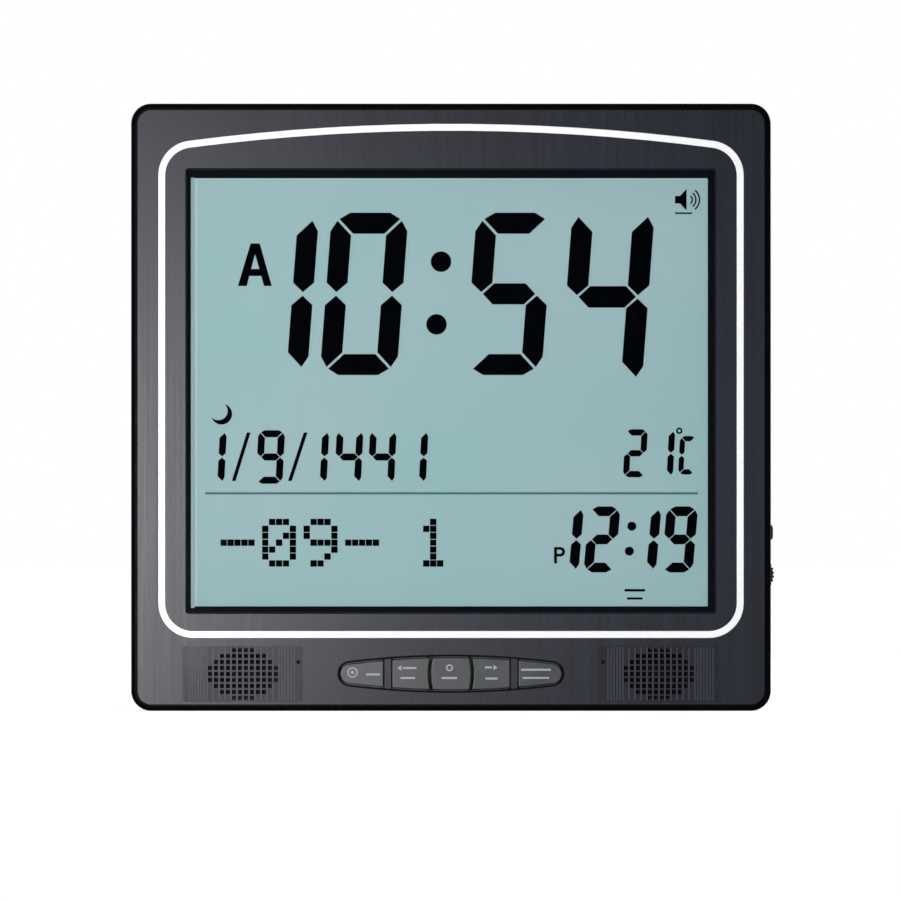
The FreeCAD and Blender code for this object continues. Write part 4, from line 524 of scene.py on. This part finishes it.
smallTime = {"width": 12.6 * mm, "height": 26.4 * mm, "stroke": 3.9 * mm, "gap": 0.4 * mm, "lean": 5.0,
             "bottom": 55.4 * mm,
             "figures": [("1", 47.1 * mm), ("2", 53.0 * mm), ("1", 78.1 * mm), ("9", 84.1 * mm)],
             "dots": [(72.4 * mm, 73.9 * mm), (71.4 * mm, 63.9 * mm)], "dotRadius": 1.8 * mm}
inkPiece("smallTimeFigures", figures(smallTime)
         + [circle(x, z, smallTime["dotRadius"], 28) for x, z in smallTime["dots"]])

divider = {"left": -98.4 * mm, "low": 86.6 * mm, "right": 98.8 * mm, "high": 87.5 * mm}
inkPiece("displayDivider", [rectangle(**divider)], paint["fadedInk"])


# Small marks of the display, drawn on a grid of 0.4 mm from its middle

markGrid = {"step": 0.4004 * mm, "level": 104.4 * mm}
letterA = [[(-213.1, 164), (-200.4, 206.5), (-191.3, 206.5), (-179.2, 164), (-187, 164), (-189.7, 174),
            (-201.7, 174), (-204.2, 164)],
           [(-199.9, 181), (-191.6, 181), (-195.9, 195.6)]]
letterP = [[(103, -113.4), (103, -97), (110, -97), (113, -98.3), (114.2, -101.7), (113, -105.2),
            (110, -106.5), (106, -106.5), (106, -113.4)],
           [(106, -99.7), (109.3, -99.7), (110.8, -100.6), (111.2, -101.7), (110.8, -102.8),
            (109.3, -103.8), (106, -103.8)]]
moon = [crescent(-229.4, 36.0, 10.5, -232.7, 39.2, 9.4)]
sounder = [[(224, 246.5), (229, 246.5), (235.5, 239.5), (235.5, 261), (229, 254), (224, 254)],
           rectangle(224, 236, 241, 237.6)]
sounder += [arcBand(236, 250.2, radius, stroke=1.5, start=-50, end=50) for radius in (5.2, 8.8, 12.4)]
caption = [rectangle(173.5, -141.5, 194, -139), rectangle(176, -149.5, 191.5, -147.4)]


def fromGrid(loop):
    return [(x * markGrid["step"], markGrid["level"] + z * markGrid["step"]) for x, z in loop]


inkPiece("displayMarks", [fromGrid(loop) for loop in letterA + letterP + moon + sounder + caption])

glassEdge = {"left": -102.7 * mm, "right": 102.7 * mm, "low": 41.9 * mm, "high": 213.1 * mm,
             "side": 1.1 * mm, "top": 0.7 * mm}


def edgeStrip(look):
    # a pale strip down the left and along the top of the glass
    insideLeft, insideHigh = look["left"] + look["side"], look["high"] - look["top"]
    return [(look["left"], look["low"]), (insideLeft, look["low"]), (insideLeft, insideHigh),
            (look["right"], insideHigh), (look["right"], look["high"]), (look["left"], look["high"])]


inkPiece("displayEdge", [edgeStrip(glassEdge)], paint["paleEdge"])


# What repeats: the dots of the lower line, and the ribs of the speaker panels

def repeatTree():
    tree = bpy.data.node_groups.new("repeatedBars", "GeometryNodeTree")
    for label, kind in (("Places", "Geometry"), ("Width", "Float"), ("Depth", "Float"), ("Height", "Float"),
                        ("Unevenness", "Float"), ("Seed", "Int"), ("Finish", "Material")):
        tree.interface.new_socket(name=label, in_out="INPUT", socket_type="NodeSocket" + kind)
    tree.interface.new_socket(name="Geometry", in_out="OUTPUT", socket_type="NodeSocketGeometry")
    given = addNode(tree, "NodeGroupInput").outputs
    size = addNode(tree, "ShaderNodeCombineXYZ", {"X": given["Width"], "Y": given["Depth"],
                                                  "Z": given["Height"]})
    bar = addNode(tree, "GeometryNodeMeshCube", {"Size": size.outputs[0]})
    least = calculate(tree, "SUBTRACT", 1.0, given["Unevenness"])
    uneven = addNode(tree, "FunctionNodeRandomValue", {2: least, 3: 1.0, "Seed": given["Seed"]},
                     data_type="FLOAT")  # 2 and 3 are the least and the most of a float
    placed = addNode(tree, "GeometryNodeInstanceOnPoints", {
        "Points": given["Places"], "Instance": bar.outputs["Mesh"], "Scale": uneven.outputs[1]})
    solid = addNode(tree, "GeometryNodeRealizeInstances", {"Geometry": placed.outputs["Instances"]})
    finished = addNode(tree, "GeometryNodeSetMaterial", {"Geometry": solid.outputs["Geometry"],
                                                         "Material": given["Finish"]})
    addNode(tree, "NodeGroupOutput", {"Geometry": finished.outputs["Geometry"]})
    return tree


barTree = repeatTree()


def repeatedBars(name, places, look, finish):
    points = bpy.data.meshes.new(name + "Places")
    points.from_pydata(places, [], [])
    holder = bpy.data.objects.new(name + "Places", points)
    scene.collection.objects.link(holder)
    modifier = holder.modifiers.new("repeat", "NODES")
    modifier.node_group = barTree
    values = {"Width": look["width"], "Depth": look["depth"], "Height": look["height"],
              "Unevenness": look["uneven"], "Seed": look["seed"], "Finish": finish}
    for item in barTree.interface.items_tree:
        if item.name in values:
            modifier[item.identifier] = values[item.name]
    addPiece(name, plainMesh(holder), finish, "case")


dotRows = {
    "-": ("00000", "00000", "00000", "11111", "00000", "00000", "00000"),
    "0": ("01110", "10001", "10011", "10101", "11001", "10001", "01110"),
    "9": ("01110", "10001", "10001", "01111", "00001", "00010", "01100"),
    "1": ("010", "110", "010", "010", "010", "010", "111"),
}
dots = {"width": 2.6 * mm, "depth": inkDepth, "height": 2.6 * mm, "uneven": 0.06, "seed": 5,
        "pitch": 2.77 * mm, "top": 75.6 * mm, "words": [("-09-", -91.0 * mm), ("1", -9.9 * mm)]}


def dotPlaces(look):
    places = []
    pitch = look["pitch"]
    for word, left in look["words"]:
        for character in word:
            rows = dotRows[character]
            for down, row in enumerate(rows):
                places += [(left + along * pitch, inkFront + inkDepth / 2, look["top"] - down * pitch)
                           for along, lit in enumerate(row) if lit == "1"]
            left += (len(rows[0]) + 1) * pitch
    return places


print("display dots and speaker ribs")
repeatedBars("dotLine", dotPlaces(dots), dots, paint["figureInk"])

ribs = {"width": 0.5 * mm, "depth": 0.2 * mm, "height": 21.4 * mm, "uneven": 0.0, "seed": 1,
        "pitch": 2.4 * mm, "holes": 6, "edge": 0.9 * mm, "pinhole": 61 * mm, "clear": 1.3 * mm}


def ribPlaces(grille, look):
    # one rib on each row of holes, then two to a pitch on both sides of them, and none over the pinhole
    low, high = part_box(grille)
    middle = (low.x + high.x) / 2
    half = (high.x - low.x) / 2 - look["edge"]
    pitch = look["pitch"]
    steps = [i * pitch for i in range(-look["holes"], look["holes"] + 1)]
    reach = look["holes"] * pitch
    while reach + pitch / 2 <= half:
        reach += pitch / 2
        steps += [reach, -reach]
    pinhole = math.copysign(look["pinhole"], middle)
    return [(middle + step, low.y, (low.z + high.z) / 2) for step in steps
            if abs(middle + step - pinhole) > look["clear"]]


# the ribs are painted lighter than their grille, a painted highlight on the ridges
for side in ("left", "right"):
    repeatedBars(side + "GrilleRibs", ribPlaces(side + "_grille", ribs), ribs, paint["ribPlastic"])


# Marks on the keys, in millimetres: plain bars, rings and arrows

keyMarks = {
    "far_left_key": [circle(-39.4, 15.4, 2.1, 28), circle(-39.4, 15.4, 1.6, 28),
                     circle(-39.4, 15.4, 0.7, 20), rectangle(-34.0, 14.2, -28.4, 15.0)],
    "left_key": [[(-21.4, 17.2), (-19.8, 18.3), (-19.8, 16.1)], rectangle(-19.2, 16.8, -13.8, 17.6),
                 rectangle(-20.2, 12.8, -14.4, 13.6)],
    "centre_key": [circle(-0.6, 17.3, 1.4, 28), circle(-0.6, 17.3, 0.85, 24),
                   rectangle(-3.8, 12.8, 2.4, 13.6)],
    "right_key": [[(18.6, 17.4), (17.0, 18.5), (17.0, 16.3)], rectangle(13.6, 17.0, 16.4, 17.8),
                  rectangle(13.8, 12.6, 18.6, 13.4)],
    "far_right_key": [rectangle(28.0, 16.1, 40.0, 16.9), rectangle(28.6, 12.9, 39.2, 13.6)],
}
keyPrint = {"rise": 0.06 * mm, "sink": 0.2 * mm}

print("key marks")
for key, loops in keyMarks.items():
    sized = [[(x * mm, z * mm) for x, z in loop] for loop in loops]
    flatPiece(camelCase(key) + "Mark", sized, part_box(key)[0].y - keyPrint["rise"],
              keyPrint["rise"] + keyPrint["sink"], paint["keyMarkPaint"], key)


# The front shell: the case front again, with the round of its edge in near black, painted darker than the
# case and with almost no specular: painted shade standing in for the dark that its glossy round reflects

# flat: a face whose normal points nearer to the front than this keeps the finish of the case
shellRim = {"corner": 14 * mm, "edge": 2.15 * mm, "flat": -0.9995, "weld": 0.001 * mm}


def frontShell(look):
    source = nodes["front_bezel"]
    mesh = source.data.copy()
    mesh.name = "frontShell"
    normals = [Vector(corner.vector) for corner in mesh.corner_normals]
    work = bmesh.new()
    work.from_mesh(mesh)
    bmesh.ops.remove_doubles(work, verts=work.verts, dist=look["weld"])
    work.to_mesh(mesh)
    work.free()
    if len(normals) == len(mesh.loops):  # the merge kept every corner, so its normal still fits
        mesh.normals_split_custom_set(normals)
    mesh.transform(source.matrix_world)
    low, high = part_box("front_bezel")
    corner, edge = look["corner"], look["edge"]
    rim = len(mesh.materials)
    mesh.materials.append(slotFinish["rim_gloss"])
    for face in mesh.polygons:
        centre = face.center
        acrossX = max(abs(centre.x) - (high.x - corner), 0)
        acrossZ = max(abs(centre.z - (low.z + high.z) / 2) - ((high.z - low.z) / 2 - corner), 0)
        inside = corner - math.hypot(acrossX, acrossZ)
        if inside < edge and centre.y < low.y + edge and face.normal.y > look["flat"]:
            face.material_index = rim
    piece = bpy.data.objects.new("frontShell", mesh)
    scene.collection.objects.link(piece)
    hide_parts("front_bezel")
    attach(piece, "case")


print("front shell")
frontShell(shellRim)


# Painted shade: a dark line round the front's edge, and one round the key pod

# a dark band on the flat front just inside the round of its edge, in the rim finish: painted shade that
# widens the dark rim
frontEdge = {"inset": 1.9 * mm, "line": 0.75 * mm, "corner": 8 * mm, "rise": 0.03 * mm, "depth": 0.06 * mm}


def paintedEdgeShade(look):
    low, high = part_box("front_bezel")
    loops = [roundedRectangle(low.x + inset, low.z + inset, high.x - inset, high.z - inset,
                              look["corner"] - inset)
             for inset in (look["inset"], look["inset"] + look["line"])]
    flatPiece("frontEdgeLine", loops, low.y - look["rise"], look["depth"], slotFinish["rim_gloss"])


pod = {"length": 90.6 * mm, "height": 15 * mm, "end": 5 * mm, "level": 14.9 * mm, "margin": 0.6 * mm,
       "line": 0.75 * mm, "rise": 0.04 * mm, "depth": 0.08 * mm}


def podOutline(look, margin):
    # long shallow arcs above and below and small round ends, drawn inwards by the margin
    reach = look["length"] / 2 - look["end"]
    rise = look["height"] / 2 - look["end"]
    bow = (reach ** 2 - rise ** 2) / (2 * rise) + look["height"] / 2
    drop = bow - look["height"] / 2
    lean = math.degrees(math.atan2(drop, reach))
    level, end = look["level"], look["end"] - margin
    return (arcPoints(reach, level, end, -lean, lean, 20)
            + arcPoints(0, level - drop, bow - margin, lean, 180 - lean, 48)
            + arcPoints(-reach, level, end, 180 - lean, 180 + lean, 20)
            + arcPoints(0, level + drop, bow - margin, 180 + lean, 360 - lean, 48))


print("dark lines")
paintedEdgeShade(frontEdge)
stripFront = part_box("left_grille")[0].y
# a dark line straddling the edge of the key pod: painted shade for the recess the keys sit in
flatPiece("podLine", [podOutline(pod, pod["margin"] - pod["line"]), podOutline(pod, pod["margin"])],
          stripFront - pod["rise"], pod["depth"], paint["softBlack"])


# Camera, floor, background and lamps

# from about 5 m away, the side controls show past the case
camera = {"place": (-0.4 * mm, -5.017, 104.4 * mm), "lens": 500, "sensor": 36, "near": 0.05}


def addCamera(look):
    lens = bpy.data.cameras.new("camera")
    lens.lens = look["lens"]
    lens.sensor_width = look["sensor"]
    lens.clip_start = look["near"]
    viewer = bpy.data.objects.new("camera", lens)
    viewer.location = look["place"]
    viewer.rotation_euler = (math.radians(90), 0, 0)
    scene.collection.objects.link(viewer)
    scene.camera = viewer


def seenRays(tree):
    # 1 for the camera and for what mirrors or shows the background, 0 for other rays
    path = addNode(tree, "ShaderNodeLightPath")
    either = calculate(tree, "MAXIMUM", path.outputs["Is Camera Ray"], path.outputs["Is Glossy Ray"])
    return calculate(tree, "MAXIMUM", either, path.outputs["Is Transmission Ray"])


floorLook = {"reach": 6.0, "tone": 0.8, "glow": 0.775}


def makeFloor(look):
    reach, tone = look["reach"], look["tone"]
    mesh = bpy.data.meshes.new("floor")
    mesh.from_pydata([(-reach, -reach, 0), (reach, -reach, 0), (reach, reach, 0), (-reach, reach, 0)], [],
                     [(0, 1, 2, 3)])
    floor = bpy.data.objects.new("floor", mesh)
    scene.collection.objects.link(floor)
    material, tree, shader = startMaterial("floorPale", {
        "Base Color": (tone, tone, tone, 1), "Roughness": 1.0, "Specular IOR Level": 0.0,
        "Emission Color": (1, 1, 1, 1)})
    glow = calculate(tree, "MULTIPLY", seenRays(tree), look["glow"])
    tree.links.new(glow, shader.inputs["Emission Strength"])
    mesh.materials.append(material)


background = {"seen": 1.0, "light": 0.3}


def makeWorld(look):
    world = bpy.data.worlds.new("studio")
    world.use_nodes = True
    scene.world = world
    tree = world.node_tree
    tree.nodes.clear()
    strength = remap(tree, seenRays(tree), 0, 1, look["light"], look["seen"])
    white = addNode(tree, "ShaderNodeBackground", {"Color": (1, 1, 1, 1), "Strength": strength})
    addNode(tree, "ShaderNodeOutputWorld", {"Surface": white.outputs[0]})


# the left of the case mirrors the soft lamp, and the back lamp stands behind on the right
lamps = {
    "softLamp": {"place": (-0.26, -1.08, 0.06), "width": 0.22, "height": 0.2, "power": 11.0, "lean": -31,
                 "turn": 0},
    "backLamp": {"place": (0.75, 1.15, 0.5), "width": 0.5, "height": 0.5, "power": 9, "lean": 0, "turn": 147},
}


def addLamp(name, look):
    light = bpy.data.lights.new(name, "AREA")
    light.shape = "RECTANGLE"
    light.size = look["width"]
    light.size_y = look["height"]
    light.energy = look["power"]
    lamp = bpy.data.objects.new(name, light)
    lamp.location = look["place"]
    lean, turn = math.radians(look["lean"]), math.radians(look["turn"])
    lamp.rotation_euler = (Matrix.Rotation(turn, 3, "Z") @ Matrix.Rotation(lean, 3, "Y")
                           @ Matrix.Rotation(math.radians(90), 3, "X")).to_euler()
    scene.collection.objects.link(lamp)


print("camera, floor and lamps")
addCamera(camera)
makeFloor(floorLook)
makeWorld(background)
for name, look in lamps.items():
    addLamp(name, look)
